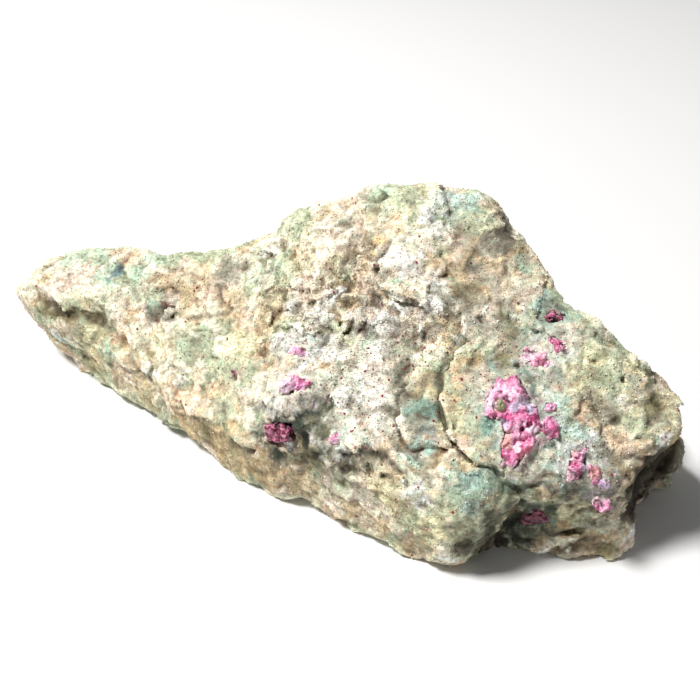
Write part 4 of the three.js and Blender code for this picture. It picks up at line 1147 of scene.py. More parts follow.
    ("ash", (5.7, -12.8, 30.9), 2, 0.5), ("rock", (8.9, 3.5, 46.2), 2.2, 0.6),
    ("cream", (12.3, -6, 41.4), 1.8, 0.9), ("rock", (15, -40.5, 5.4), 2.4, 0.5),
    ("rock", (15.5, -23, 29.2), 1.8, 0.8), ("mint", (17.2, -34.2, 23.6), 1.6, 0.7),
    ("blush", (18.8, -12.9, 35.5), 1.8, 0.7), ("ash", (18.3, -29.2, 27.3), 1.8, 0.7),
    ("cream", (20.6, -8, 42), 2, 0.9), ("clay", (24.4, -26.4, 30.6), 1.8, 0.6),
    ("cream", (24.3, -33, 26.3), 1.8, 0.8), ("blush", (28.4, 1.9, 49.3), 2, 0.7),
    # painted shade: the bark and moss along the nose, under the shelf's overhang and along the foot
    ("bark", (32.3, -42.2, 13), 2.2, 0.65), ("bark", (37.1, -40.6, 19.2), 1.4, 0.7),
    ("bark", (39.8, -40.8, 19.4), 1.5, 0.8), ("cream", (42.8, -39.1, 23.1), 2, 0.9),
    ("moss", (45, -39.2, 13.5), 1.8, 0.8), ("rock", (46.6, -16.7, 39.4), 1.8, 0.6),
    ("tan", (47.6, -40.2, 4.8), 1.5, 0.8), ("chalk", (46, -35, 26.6), 1.5, 0.8),
    ("moss", (53.1, -41.3, 15.1), 1.6, 0.9), ("bark", (57.6, -41.2, 2.7), 1.8, 0.6),
    ("olive", (72, -25, 6.5), 2, 0.7), ("olive", (52, -40.3, 11), 1.8, 0.5),
    # partly painted light: cream on the wing's lower side, where the stone faces away from the lamp
    ("cream", (-68.1, 20.2, 11.8), 2.4, 0.8), ("cream", (-62.1, 15.9, 11.3), 2.4, 0.8),
    ("cream", (-54.9, 16, 22.9), 2.2, 0.7), ("cream", (-45.2, 17.2, 26.8), 2.2, 0.6),
    ("cream", (-43.1, 6.6, 18.1), 2.4, 0.8), ("cream", (-41.4, 0.6, 14.9), 2.4, 0.9),
    ("cream", (-38.4, -2.3, 8.6), 2, 0.7), ("tan", (-34.6, -5.5, 8.1), 2.2, 0.8),
    ("cream", (-32.2, -2.6, 14.4), 2.2, 0.8), ("cream", (-25.3, 2.8, 24.8), 2.4, 0.8),
    ("tan", (-18.5, -14.8, 17.2), 2.2, 0.6), ("tan", (-18.9, -19.2, 5.2), 2.4, 0.6),
    ("tan", (-18.3, -19.2, 14), 2.2, 0.7), ("ash", (-14.6, -19.9, 15.2), 1.8, 0.6),
    ("tan", (-12.9, -23.4, 5.2), 2.4, 0.6), ("ash", (-10.1, -8.2, 27.4), 2.2, 0.6),
    ("tan", (-5.7, -25, 16.5), 1.6, 0.5), ("ash", (-3.5, -15, 27.6), 2.2, 0.6),
    ("ash", (-3.1, -18.6, 27.2), 1.6, 0.8), ("ash", (0.1, -29, 20.6), 2, 0.9),
    ("rock", (-0.1, -6.9, 30.2), 2, 0.5), ("ash", (0.7, -24.6, 24.3), 2, 0.9),
    ("rock", (1.3, -31.1, 18.5), 2.2, 0.95), ("rock", (3.2, -16.2, 28.9), 1.8, 0.6),
    ("cream", (4, -5.9, 32.8), 2.2, 0.9), ("ash", (4.4, 11.7, 46.9), 2.2, 0.8),
    ("rock", (4.9, 0.2, 38), 2, 0.7), ("ash", (5.7, 7.8, 45.5), 2.2, 0.6),
    ("ash", (7.3, -24.9, 26), 2, 0.7), ("chalk", (12.1, -3.9, 39.2), 2, 0.6),
    ("ash", (13.8, -32.9, 23.8), 2, 0.8), ("rock", (14, -21.2, 28.9), 2, 0.7),
    ("chalk", (15.3, -7.4, 39.2), 1.8, 0.9), ("rock", (15.4, -25.3, 29.2), 2.2, 0.8),
    ("ash", (16.6, -14.9, 32.9), 2.2, 0.8), ("ash", (16.9, -21.7, 30.4), 2, 0.7),
    ("chalk", (17.1, -33.3, 22.9), 1.8, 0.7), ("chalk", (18, -3.2, 45.6), 2.6, 0.7),
    ("chalk", (18.3, -7.7, 39.7), 1.8, 0.7), ("chalk", (21.4, 5.8, 52.6), 2.4, 0.95),
    ("chalk", (21.2, -9.1, 40.1), 1.8, 0.9), ("ice", (25.2, 11.1, 55.4), 2.2, 0.8),
    ("tan", (23.6, -27.4, 31.6), 2, 0.8), ("chalk", (25.6, -45, 3.6), 2.2, 0.9),
    ("ash", (26.4, -10, 41.5), 2, 0.8), ("moss", (27.5, -45.6, 8.6), 2.2, 0.9),
    ("tan", (30.1, -19.1, 34.8), 2, 0.5), ("rock", (29.5, -44, 17.3), 2.4, 0.8),
    ("moss", (32.6, -43.8, 14.9), 2.6, 0.95), ("ash", (33.9, -23.7, 33.7), 1.8, 0.8),
    ("rock", (35.5, -42.1, 17.4), 2.2, 0.95), ("rock", (37.1, -22.2, 35.8), 2, 0.6),
    ("ash", (38.4, -3, 47.5), 2.4, 0.8), ("rock", (38.8, -38.5, 24.8), 1.6, 0.8),
    ("ash", (39.7, -24.8, 34.1), 1.4, 0.7), ("moss", (41.4, -40.4, 4), 1.6, 0.8),
    # painted shade: mauve down the cluster's right flank
    ("mauve", (40.9, -27.5, 32.8), 1.5, 0.9), ("mauve", (41.3, -30.4, 31.3), 1.3, 0.8),
    ("chalk", (44.1, -40.6, 1), 2.2, 0.9), ("bark", (43.7, -39.6, 12.6), 1.6, 0.8),
    ("rock", (42.4, -36.4, 27), 1.8, 0.9), ("ash", (45.5, -21, 38), 2, 0.7),
    ("cream", (46.8, -40.6, 4.1), 1.6, 0.9), ("ash", (46.9, -12.2, 42.5), 2.2, 0.7),
    ("rock", (46.4, -17.5, 40.1), 2, 0.7), ("chalk", (46.8, -37.3, 25.6), 1.8, 0.95),
    ("olive", (47.7, -40.2, 20), 2, 0.9), ("straw", (49.7, -38.9, 12), 2.2, 0.7),
    ("cream", (51.9, -26.8, 32.4), 2, 0.7), ("olive", (51.6, -41.2, 18.5), 2, 0.8),
    ("moss", (53.8, -40.3, 13.6), 1.8, 0.9), ("clay", (53.2, -32.4, 28.1), 1.8, 0.8),
    ("mauve", (53.2, -39.7, 21.2), 1.8, 0.5), ("cream", (55.4, -17, 39.5), 2.4, 0.9),
    ("cream", (59.6, -28.2, 30.5), 2.4, 0.8), ("moss", (60.1, -38.2, 15.6), 2, 0.9),
    ("cream", (60.4, -23.7, 35.3), 2.4, 0.9), ("cream", (59.8, -35.9, 22.8), 2, 0.8),
    ("chalk", (62.6, -39.1, 4.6), 2, 0.9), ("rock", (64.5, -22.9, 34.5), 2.2, 0.9),
    ("olive", (65.3, -28.5, 29.3), 2, 0.8), ("cream", (65.4, -33.5, 26), 2.2, 0.95),
    # painted shade: by the bite, in the throat, beside the nose and on the knob's lower right side
    ("cream", (68.5, -31.5, 24.2), 2, 0.9), ("umber", (64.5, -34, 21.5), 1.8, 0.95),
    ("umber", (62.5, -35.8, 19.3), 1.6, 0.9), ("umber", (61.3, -37, 17), 1.4, 0.9),
    ("loam", (74.1, -23.5, 10.9), 2.2, 0.9), ("loam", (76.3, -22.6, 7.6), 2.2, 0.9),
    ("loam", (73.4, -24.1, 8), 2.2, 0.9), ("loam", (72.1, -23.3, 7.6), 2, 0.9),
    ("bark", (70.2, -25.4, 6.1), 2, 0.9), ("bark", (69.4, -25.8, 1.9), 2, 0.9),
    ("umber", (36.8, -38.9, 1.2), 1.4, 0.9), ("umber", (35.5, -39.1, 2.7), 1.5, 0.85),
    ("umber", (38.4, -39.3, 4.2), 1.5, 0.9), ("umber", (39, -38.8, 8.9), 1.2, 0.8),
    ("bark", (34, -40.1, 2.7), 1.6, 0.85), ("moss", (35, -42.2, 14.3), 1.8, 0.85),
    ("moss", (36.7, -41.7, 16.4), 1.5, 0.85), ("tan", (-11.9, -22.6, 14.4), 1.8, 0.95),
    ("bark", (-10.5, -24.2, 13.5), 1.2, 0.7), ("rock", (-4.9, -22.2, 24.3), 1.5, 0.9),
    ("rock", (-3, -23.1, 23.4), 1.3, 0.85), ("moss", (-2.5, -25.5, 21.2), 1.5, 0.9),
    ("rock", (0.3, -26.8, 22.6), 1.5, 0.85), ("cream", (58.2, -24.9, 34.1), 1, 0.95),
    ("chalk", (25.2, 9.7, 54.8), 1.5, 0.8), ("chalk", (25, 7.1, 53.2), 1.5, 0.7),
    ("chalk", (12.9, -1.8, 46.7), 1.6, 0.7), ("cream", (15.3, 2.3, 49.8), 1.6, 0.7),
    ("chalk", (23, 3.5, 51.1), 1.8, 0.9), ("peach", (12.3, -5.6, 42), 1.4, 0.7),
    # painted shade: under the wing's lip, here and on the next four lines
    ("tan", (17.4, -8, 41.1), 1.6, 0.7), ("olive", (-68.3, 18.7, 19), 2, 0.6),
    ("ash", (-66.1, 18.8, 20.1), 1.2, 0.8), ("slate", (-64.5, 17, 20.6), 1.2, 0.6),
    ("olive", (-61.1, 15.8, 19.6), 1.6, 0.6), ("olive", (-63.9, 14.8, 19), 1.8, 0.6),
    ("ash", (-59.2, 13.7, 18.2), 2, 0.6), ("olive", (-55.9, 14.9, 19.6), 1.6, 0.6),
    ("bark", (-53.2, 13.8, 19.4), 1.2, 0.5), ("clay", (-54.4, 12.3, 17.9), 1.6, 0.6),
    ("ice", (-67.5, 19.6, 10.7), 2, 0.7), ("chalk", (-67.8, 19.5, 13.3), 2.2, 0.8),
    ("sage", (-62.8, 16.2, 21.2), 1.4, 0.8), ("straw", (-57.2, 13, 10.2), 2.4, 0.7),
    # painted light: the chalk on the wing's hollowed front, where it lies in shade
    ("chalk", (-41.5, 0.8, 14.7), 2.4, 0.9), ("rock", (-37.6, 10.7, 24.2), 1.8, 0.6),
    ("cream", (-36.9, -3.6, 7.9), 2.2, 0.8), ("clay", (-33.6, 13.9, 28.3), 2, 0.7),
    ("chalk", (-32.2, -2.6, 14.4), 2, 0.8), ("clay", (-30.8, -9.2, 3.5), 2.2, 0.7),
    ("ash", (-23.1, -12.5, 15.2), 1.8, 0.7), ("clay", (-20.5, -18, 14.3), 2, 0.7),
    ("clay", (-19.4, -13.4, 17.5), 1.8, 0.5), ("clay", (-17.6, -20.1, 13.4), 1.8, 0.8),
    ("ash", (-14.6, -7.3, 24.6), 2, 0.6), ("ash", (-13.7, -19.7, 16), 1.5, 0.8),
    ("chalk", (-13.5, 14.7, 38.2), 2.2, 0.8), ("tan", (-11.4, -23.5, 14.7), 1.2, 0.9),
    ("rock", (-10.5, -24.8, 10), 1.8, 0.7), ("chalk", (-7.3, -24.3, 16.1), 1.2, 0.8),
    ("chalk", (-6.6, 1.8, 32.5), 2, 0.8), ("tan", (-4.9, -25.4, 16.1), 1.4, 0.7),
    ("ash", (-2.6, -15.3, 27.8), 1.8, 0.5), ("ash", (0.2, -28.4, 20), 1.6, 0.8),
    ("ash", (0.2, 3.6, 39.7), 2, 0.6), ("chalk", (1.5, 0.7, 36.4), 2, 0.9),
    ("ash", (1.3, -25.5, 23.9), 2, 0.7), ("rock", (1.6, -18.5, 27.3), 2, 0.5),
    ("ash", (2.7, -13.9, 29), 2, 0.6), ("sage", (3.4, -31.9, 12.2), 2, 0.8),
    ("tan", (4.6, -2.4, 36.4), 1.6, 0.7), ("chalk", (4.8, -22.5, 25.8), 1.8, 0.7),
    ("clay", (5.4, 15.8, 50.5), 2, 0.5), ("ash", (7.2, -35.3, 18), 1.8, 0.6),
    ("rock", (9.9, -35.9, 21.7), 1.8, 0.7), ("cream", (14, -36.1, 21.3), 1.4, 0.8),
    ("chalk", (14.5, -7.2, 38.8), 1.8, 0.9), ("rock", (15.3, -20.8, 29.3), 2, 0.8),
    ("rock", (15.6, -24.8, 29.4), 1.8, 0.9), ("chalk", (18, -7.9, 40.4), 1.4, 0.6),
    ("clay", (17.8, -20.4, 31.8), 1.8, 0.5), ("rock", (18.4, -29.1, 28), 1.8, 0.9),
    ("chalk", (19.4, -13.1, 36.5), 2, 0.9), ("ash", (18.9, -38.4, 21.7), 1.8, 0.7),
    ("clay", (20.6, -24.8, 31.1), 2, 0.8), ("clay", (21.7, -44.3, 5.7), 2, 0.7),
    ("tan", (21.1, -41.2, 19.8), 2, 0.6), ("ash", (24, -7.4, 43), 2, 0.5),
    ("clay", (23.8, -27.6, 31.4), 2, 0.7), ("chalk", (27, -14.7, 36.5), 1.8, 0.6),
    ("clay", (26.8, -21.4, 34.1), 2, 0.8), ("clay", (27.2, -25, 32.6), 2, 0.7),
    ("bark", (27.5, -45.6, 8.6), 2.2, 0.9), ("ice", (27.4, -43.7, 18.5), 2, 0.6),
    ("tan", (29.6, -2.9, 45.3), 2, 0.9), ("ice", (28.1, -40.1, 22.7), 1.8, 0.8),
    ("chalk", (31.6, -11.7, 39.3), 1.8, 0.6), ("ash", (34, -16.1, 38.4), 2, 0.6),
    ("ash", (33, -33.8, 27), 1.6, 0.8), ("ash", (36.2, -11.1, 41.8), 2.2, 0.8),
    ("ash", (38.1, 7.3, 50.7), 2, 0.9), ("moss", (35.5, -41.9, 17.9), 2, 0.9),
    ("olive", (36.3, -21.9, 35.3), 1.8, 0.9), ("rock", (37.9, 0.4, 48.7), 2, 0.85),
    ("ash", (37.8, -39.5, 2.5), 1.4, 0.8), ("chalk", (40.5, -11.9, 42.2), 1.8, 0.7),
    ("ash", (41.7, -3, 46.9), 2.2, 0.9), ("ash", (40.9, -17.9, 37.6), 2, 0.7),
    ("bark", (41.6, -40.7, 3.5), 1.5, 0.95), ("ash", (41, -15, 40.8), 2, 0.6),
    ("olive", (40.6, -40.9, 19.1), 1.8, 0.9), ("ice", (43.3, -11.4, 42.5), 2, 0.8),
    ("chalk", (44.6, -41, 1.5), 2, 0.95), ("cream", (42.2, -39.1, 22.5), 1.8, 0.95),
    ("ash", (45.2, -20.8, 36.9), 1.8, 0.5), ("ash", (45.5, -17.2, 39.7), 2, 0.8),
    ("cream", (47.1, -40.7, 3.8), 1.6, 0.95), ("clay", (47.9, -39.5, 8.4), 1.8, 0.8),
    ("olive", (47.7, -39.6, 17.4), 2, 0.9), ("bark", (50.2, -40.7, 2.1), 1.8, 0.6),
    ("straw", (49.7, -38.9, 12), 2, 0.9), ("rock", (52.3, -40.2, 18.3), 1.4, 0.8),
    ("straw", (53.2, -22.1, 37.2), 2, 0.7), ("ash", (55.7, -29.4, 29.7), 2, 0.9),
    ("olive", (58.2, -41.1, 3.1), 2, 0.9), ("straw", (61, -23.1, 35.5), 2, 0.95),
    ("clay", (61.8, -35, 26.5), 1.6, 0.6), ("moss", (64.8, -22.8, 34.5), 2, 0.9),
    ("moss", (64.9, -34.6, 23.3), 1.8, 0.95), ("ash", (66.1, -30.1, 28.5), 2, 0.8),
    ("garnet", (-36.8, 11.8, 26), 0.8, 0.9), ("garnet", (-40.1, 9.3, 22.7), 0.7, 0.9),
    ("umber", (5.3, -24.3, 25.4), 0.8, 0.9), ("garnet", (8.1, -29.4, 23.4), 0.7, 0.8),
    ("peach", (19.9, -32.2, 25.8), 0.7, 0.9),
]
# the last ones, laid over the rims of the rubies and over the hollows: many are painted shade, round the
# knob, the nose, the throat, the bite and down the cluster's right flank, and some are painted lighter where
# the stone lies in shade
LATE_STAINS = [
    ("moss", (-0.8, -26.9, 22.3), 2, 0.95), ("moss", (-1.1, -21.8, 23.9), 1.6, 0.85),
    ("ash", (0.2, -28.4, 20), 1.4, 0.8), ("moss", (0.9, -30.1, 18.1), 1.6, 0.9),
    ("ash", (1.3, -25.5, 23.9), 1.8, 0.8), ("rock", (-0.7, -25, 23.3), 1.3, 0.8),
    ("moss", (-3.2, -24.2, 23.2), 1.3, 0.8), ("umber", (-5.2, -24.6, 19.9), 1.3, 0.6),
    ("rock", (-11.2, -23.3, 14.8), 1.2, 0.7), ("chalk", (-7.8, -24, 16.6), 1.2, 0.85),
    ("cream", (42.2, -39.1, 22.5), 1.5, 0.95), ("moss", (64.8, -22.7, 34.5), 1.8, 0.85),
    ("umber", (64.9, -34.6, 23.3), 1.6, 0.9), ("bark", (47.7, -39.6, 17.4), 1.8, 0.6),
    ("umber", (27.5, -45.6, 8.6), 2, 0.6), ("umber", (33.6, -39.9, 1.7), 1.5, 0.8),
    ("moss", (34.4, -42.1, 12.3), 1.6, 0.85), ("moss", (35.5, -41.9, 17.9), 1.8, 0.8),
    ("umber", (39.3, -38.5, 10.8), 1.4, 0.9), ("bark", (43.9, -39.3, 11.1), 1.4, 0.8),
    ("olive", (56.2, -40.7, 1.9), 1.8, 0.8), ("umber", (66.4, -29, 4.6), 2, 0.8),
    ("chalk", (-68.1, 20.2, 11.8), 2, 0.9), ("clay", (-45.7, 12, 22.9), 1.8, 0.8),
    ("sage", (-31.7, -2.9, 14.2), 2, 0.8), ("clay", (-30.8, -9.2, 3.5), 2, 0.9),
    ("clay", (-21.1, -17.4, 14), 2, 0.7), ("sage", (-14.2, -16.9, 17.5), 1.6, 0.7),
    ("ash", (-10.5, -8, 26.9), 2, 0.5), ("ash", (-2.6, -15.3, 27.8), 1.8, 0.6),
    ("chalk", (1.5, 0.7, 36.4), 2, 0.8), ("bark", (5.1, -0.2, 38.1), 1.6, 0.7),
    ("clay", (11.8, 4, 48.1), 1.8, 0.7), ("tan", (12, -3.5, 39.7), 1.6, 0.7),
    ("tan", (15.5, 5, 50.8), 1.8, 0.6), ("rock", (15.6, -24.8, 29.4), 1.8, 0.85),
    ("ash", (18, -7.9, 40.4), 1.4, 0.7), ("chalk", (19.1, -40.9, 17), 2, 0.9),
    ("ash", (20.6, -12.1, 35.6), 1.8, 0.7), ("ice", (20.4, -33.1, 23.5), 1.6, 0.8),
    ("chalk", (20.8, -9.5, 40.5), 2, 0.85), ("ash", (21.4, -43.5, 4.3), 2, 0.6),
    ("ash", (30.2, -2.5, 45.3), 2, 0.8), ("clay", (30, -19.3, 34.6), 1.8, 0.8),
    ("ash", (31.4, -9.9, 41.6), 2, 0.8), ("ash", (31.6, -11.7, 39.3), 1.6, 0.8),
    ("ash", (33.4, -38.8, 24.1), 1.5, 0.7), ("rock", (38.1, 7.3, 50.7), 2, 0.85),
    ("olive", (36.1, -21.1, 35.7), 1.6, 0.85), ("sage", (37.8, -39.5, 2.5), 1.3, 0.8),
    ("rock", (40.9, -25.9, 32.9), 1.2, 0.85), ("mauve", (41.6, -28.9, 31.6), 1.3, 0.9),
    ("rock", (46.3, -12, 42.2), 1.8, 0.6), ("ash", (46.5, -17.6, 39.4), 1.8, 0.85),
    ("cream", (48.1, -40.1, 3.5), 1.6, 0.95), ("chalk", (45.4, -34.9, 27.4), 1.4, 0.8),
    ("clay", (47.9, -39.5, 8.4), 1.8, 0.9), ("ash", (47.2, -39.6, 20.8), 1.6, 0.85),
    ("ash", (50.4, -17.8, 40.2), 1.8, 0.6), ("chalk", (50.6, -34.8, 25.9), 2, 0.9),
    ("ash", (51.4, -39.7, 20.8), 1.4, 0.8), ("cream", (59.6, -28.2, 30.5), 1.6, 0.8),
    ("chalk", (62.6, -39.1, 4.6), 2, 0.95), ("straw", (61, -23.1, 35.5), 1.8, 0.9),
    ("ash", (63.4, -30.6, 28.1), 1.8, 0.6), ("chalk", (65.5, -34, 26), 1.8, 0.95),
    ("clay", (69.3, -32.3, 25), 2, 0.9), ("rock", (40.2, -25, 33.5), 1.2, 0.7),
    ("mauve", (41, -27.5, 32.2), 1.4, 0.9), ("mauve", (41.4, -30.5, 30.8), 1.3, 0.7),
    ("mauve", (42.6, -35.2, 27.9), 1.5, 0.8), ("mauve", (38.6, -38.3, 24.8), 1.5, 0.8),
    ("chalk", (45.1, -37.8, 24.3), 1.4, 0.9), ("moss", (53.8, -40.3, 14.7), 1.6, 0.95),
    ("teal", (31.3, -31.2, 28.6), 1.5, 0.85), ("teal", (32, -33.1, 27.5), 1.2, 0.7),
    ("teal", (41.1, -26.3, 32.7), 1, 0.7), ("ice", (45.4, -29.5, 31.8), 1.4, 0.7),
    ("teal", (46.6, -28.8, 32), 1, 0.7), ("teal", (43.3, -23.7, 34.5), 1.2, 0.85),
    ("ice", (48.9, -33.8, 27.6), 1.4, 0.85), ("ice", (46.8, -37.4, 23.6), 1, 0.7),
    ("teal", (35.3, -23.5, 33.6), 1, 0.5), ("teal", (43.5, -31.3, 30.5), 0.8, 0.6),
    ("ice", (33.8, -35, 25.9), 1, 0.7), ("mint", (51.2, -32.5, 27.8), 1, 0.5),
]


# the ground colour: cream, tan, sage and blush patches in three sizes of ragged cell
moved = carried(spots)
slab, plate, chip, lump, pebble = breakage(moved)
wobble = 0.9 * swirl(spots, 2.2, 40)
wobble += 0.4 * swirl(spots, 0.9, 44)
patch, _, _ = plates((spots + wobble) / 4.2, 55)
blot, _, _ = plates((spots + wobble) / 1.9, 56)
fleck, _, _ = plates((spots + 0.4 * wobble) / 0.9, 57)
tone = 0.5 * rolling(spots, 9, 60) + 0.5 * rolling(spots, 4, 61) + 0.5 * (blot - 0.5) + 0.3 * (patch - 0.5)
other = 0.55 * rolling(spots, 11, 63) + 0.5 * rolling(spots, 4.5, 64)
other += 0.6 * (patch - 0.5) + 0.25 * (fleck - 0.5)


def laid_over(colour, tint_name, share):
    """The colour with a share of a tint laid over it."""
    return colour + (PALETTE[tint_name] - colour) * share[:, None]


colour = laid_over(PALETTE["cream"], "tan", step(tone, -0.1, 0.3))
colour = laid_over(colour, "sage", step(other, 0.1, 0.35))
colour = laid_over(colour, "blush", 0.7 * step(-other, 0.3, 0.5))

# the tint of the reaction rim round each ruby, and how strong it is
USUAL_RIM = ("chalk", 0.35)
RIM_REACH = 3.5
# the pine rims round the crystals under the knob, in the throat and at the shelf's edge are partly painted
# shade
RIMS = {
    "ruby_cluster": ("teal", 0.6), "ruby_under_knob": ("pine", 0.95), "ruby_in_throat": ("pine", 0.95),
    "ruby_shelf_front": ("ice", 0.7), "ruby_shelf_fringe": ("ash", 0.5), "ruby_shelf_edge": ("pine", 0.6),
    "ruby_beside_cluster": ("ice", 0.5), "ruby_above_cluster": ("teal", 0.4),
    "ruby_low_centre": ("chalk", 0.5), "ruby_shelf_dark": ("teal", 0.5), "ruby_wing_dark": ("ash", 0.3),
}


def drifted(points):
    """Places moved a little by noise, so that round stains get wandering edges."""
    points = np.atleast_2d(np.array(points, np.float32))
    return points + 1.3 * swirl(points, 3, 70) + 0.5 * swirl(points, 1.0, 80)


drift = drifted(spots)
breakup = 0.4 * rolling(spots, 1.5, 90) + 0.9 * (blot - 0.5) + 0.7 * (fleck - 0.5)


def blotch(colour, tint_name, place, radius, share, light=1.0):
    """A stain round a place with a ragged edge, its tint lightened or darkened by the light."""
    away = np.sqrt(((drift - drifted(place)) ** 2).sum(1))
    weight = step(-away + 0.45 * radius * breakup, -1.15 * radius, -0.7 * radius)[:, None] * share
    return colour + (PALETTE[tint_name] * light - colour) * weight


for stain in STAINS:
    colour = blotch(colour, *stain)
# the pits painted dark with painted shade
for tint_name, place, radius, depth, share in PITS:
    colour = blotch(colour, tint_name, place, 1.3 * radius, 0.62 * share)
# cracks and the feet of the slabs painted darker along their paths: partly dark joints and partly painted
# shade
lines = [moved[:, i] * 0.3 + spots[:, i] * 0.7 for i in range(3)]
for path, width, depth, share in CRACKS:
    away = path_distance(lines, carried(path, 0.3))
    colour *= 1 - 0.85 * share * np.exp(-(away / (width + 0.25)) ** 2)[:, None]

# plates and flakes each a little lighter or darker, and painted shade in the creases between them
mottling = 0.97 + 0.18 * (plate[0] - 0.5) + 0.24 * (blot - 0.5) + 0.3 * (fleck - 0.5) + 0.16 * (chip[0] - 0.5)
mottling = mottling[:, None]
colour *= mottling
crease_shade = 0.35 * np.exp(-(lump / 0.12) ** 2) + 0.3 * np.exp(-(pebble / 0.14) ** 2)
crease_shade += 0.25 * np.exp(-(plate[1] / 0.12) ** 2)
colour *= 1 - np.clip(crease_shade, 0, 0.6)[:, None] * (1 - PALETTE["tan"] * 0.3)
# the mottling takes the painted crease shade too, for the last stains
mottling *= 1 - np.clip(crease_shade, 0, 0.6)[:, None]
mottling /= mottling.mean()

# painted shade darkens the hollows and the ridges are painted paler, and the bite is painted dark: its own
# dark rock and painted shade
hollows = block.at(spots, softened(unpocketed, 1.3 / PITCH))
deep = step(-hollows, 0.05, 0.7)[:, None]
high = step(hollows, 0.15, 0.8)[:, None]
colour *= 1 - 0.8 * deep * (1 - PALETTE["tan"] * 0.4)
colour += (PALETTE["cream"] * 1.1 - colour) * 0.35 * high
bite_dark_rock_and_shade = (step(-block.at(spots, bitten), -0.5, 0.2) * 0.8)[:, None]
colour += (PALETTE["loam"] * (0.6 + 0.9 * blot)[:, None] - colour) * bite_dark_rock_and_shade
for name, ruby in ruby_lattices.items():
    low, top = ruby.ends()
    outside = np.maximum(low + RUBY_REACH - drift, drift - top + RUBY_REACH)
    close = np.nonzero(np.sqrt((np.maximum(outside, 0) ** 2).sum(1)) < RIM_REACH)[0]
    away = ruby.at(drift[close])
    tint_name, share = RIMS.get(name, USUAL_RIM)
    rim = (step(-away + 0.9 * breakup[close], -1.9, -0.3) * share)[:, None]
    colour[close] += (PALETTE[tint_name] - colour[close]) * rim
    stain = (step(-away + 1.3 * (fleck[close] - 0.5) + 0.5 * breakup[close], -0.8, 0.0) * 0.35)[:, None]
    colour[close] += (RUBY_TINTS[slot_of[name]][1] - colour[close]) * stain * (name not in DARK_SEATS)
# the last stains take the mottling, with the painted shade of the creases in it
for stain in LATE_STAINS:
    colour = blotch(colour, *stain, mottling)
GREYING = 0.1
colour += GREYING * (colour.mean(1, keepdims=True) - colour)
colour = np.clip(colour, 0.01, 0.95)
paint(schist_block, "stone_tint", colour)


def note(piece, name, values):
    """Stores a number at each vertex."""
    layer = piece.data.attributes.new(name, "FLOAT", "POINT")
    layer.data.foreach_set("value", values.astype(np.float32))


# loose grains stand thickest on light, rough stone outside the hollows
grit = step(block.at(spots, rough), 0.3, 0.95)
note(schist_block, "grain_share",
     (0.9 - 0.8 * deep[:, 0]) * np.clip(colour.mean(1) / 0.4, 0.05, 1) * (0.4 + 0.6 * grit))
note(schist_block, "grit", grit)
# the red specks are sprinkled thinly all over and gather in some places: place, radius, how many more
USUAL_SPECKS = 0.07
speck_share = np.full(len(spots), USUAL_SPECKS, np.float32)
for place, radius, share in [((-2, -13, 29), 4, 0.4), ((13, -16, 33), 4, 0.7), ((20, -14, 36), 4, 0.6),
                             ((12, -36, 19), 3, 0.9), ((19, -41, 14), 3, 0.9), ((24, -36, 24), 3, 0.5),
                             ((40, -15, 40), 5, 0.3), ((-28, 1, 22), 6, 0.7), ((-38, 9, 24), 4, 0.5),
                             ((8, -12, 33), 8, 0.6), ((5, -21, 26), 5, 0.9), ((9, -28, 24), 4, 1.0),
                             ((18, -20, 31), 5, 1.0), ((27, -27, 30), 5, 1.0), ((12, -33, 22), 4, 0.5),
                             ((24, 4, 49), 6, 0.3)]:
    away = ((drift - drifted(place)) ** 2).sum(1)
    speck_share += share * np.exp(-away / (2 * radius ** 2))
note(schist_block, "speck_share", speck_share)

schist_material, tree, surface, node = shader("schist")
place = node("ShaderNodeTexCoord").outputs["Object"]
tint = node("ShaderNodeAttribute", attribute_name="stone_tint").outputs["Color"]


def ramp(node, value, stops):
    """A colour for each value, blended between the stops."""
    made = node("ShaderNodeValToRGB", {"Fac": value})
    band = made.color_ramp.elements
    while len(band) < len(stops):
        band.new(0.5)
    for element, (at, tint) in zip(band, stops):
        element.position = at
        element.color = (*tint, 1)
    return made.outputs["Color"]


shifted = node("ShaderNodeVectorMath", {0: place, 1: (0.31, 0.17, 0.23)}, operation="ADD").outputs[0]
mottle = node("ShaderNodeTexNoise", {"Vector": place, "Scale": 1200.0, "Detail": 3.5, "Roughness": 0.62})
hue = node("ShaderNodeTexNoise", {"Vector": shifted, "Scale": 700.0, "Detail": 3.5, "Roughness": 0.62})
grain = node("ShaderNodeTexNoise", {"Vector": place, "Scale": 3300.0, "Detail": 2.0, "Roughness": 0.7})
dust = node("ShaderNodeTexNoise", {"Vector": shifted, "Scale": 2700.0, "Detail": 2.0, "Roughness": 0.5})
grit = node("ShaderNodeAttribute", attribute_name="grit").outputs["Fac"]
mixed = times(node, tint, stretched(node, mottle.outputs["Fac"], 0.3, 0.7, 0.68, 1.55))
mixed = times(node, mixed, ramp(node, hue.outputs["Fac"], [
    (0.34, (0.86, 1.0, 0.95)), (0.45, (0.97, 1.0, 0.97)), (0.53, (1.0, 0.99, 0.95)),
    (0.62, (1.0, 0.94, 0.89)), (0.72, (0.90, 0.80, 0.72))]))
dark_dust = ramp(node, dust.outputs["Fac"], [
    (0.26, (0.52, 0.44, 0.39)), (0.36, (0.88, 0.86, 0.84)), (0.42, (1.0, 1.0, 1.0))])
mixed = times(node, mixed, dark_dust, stretched(node, grit, 0.0, 1.0, 0.0, 0.75))
mixed = times(node, mixed, stretched(node, grain.outputs["Fac"], 0.3, 0.7, 0.4, 1.64),
              stretched(node, grit, 0.0, 1.0, 0.4, 1.0))
tree.links.new(mixed, surface.inputs["Base Color"])
height = node("ShaderNodeMath", {0: grain.outputs["Fac"], 1: mottle.outputs["Fac"]}, operation="ADD")
rise = node("ShaderNodeBump", {"Height": height.outputs[0], "Strength": 0.8, "Distance": 0.0003})
tree.links.new(rise.outputs["Normal"], surface.inputs["Normal"])
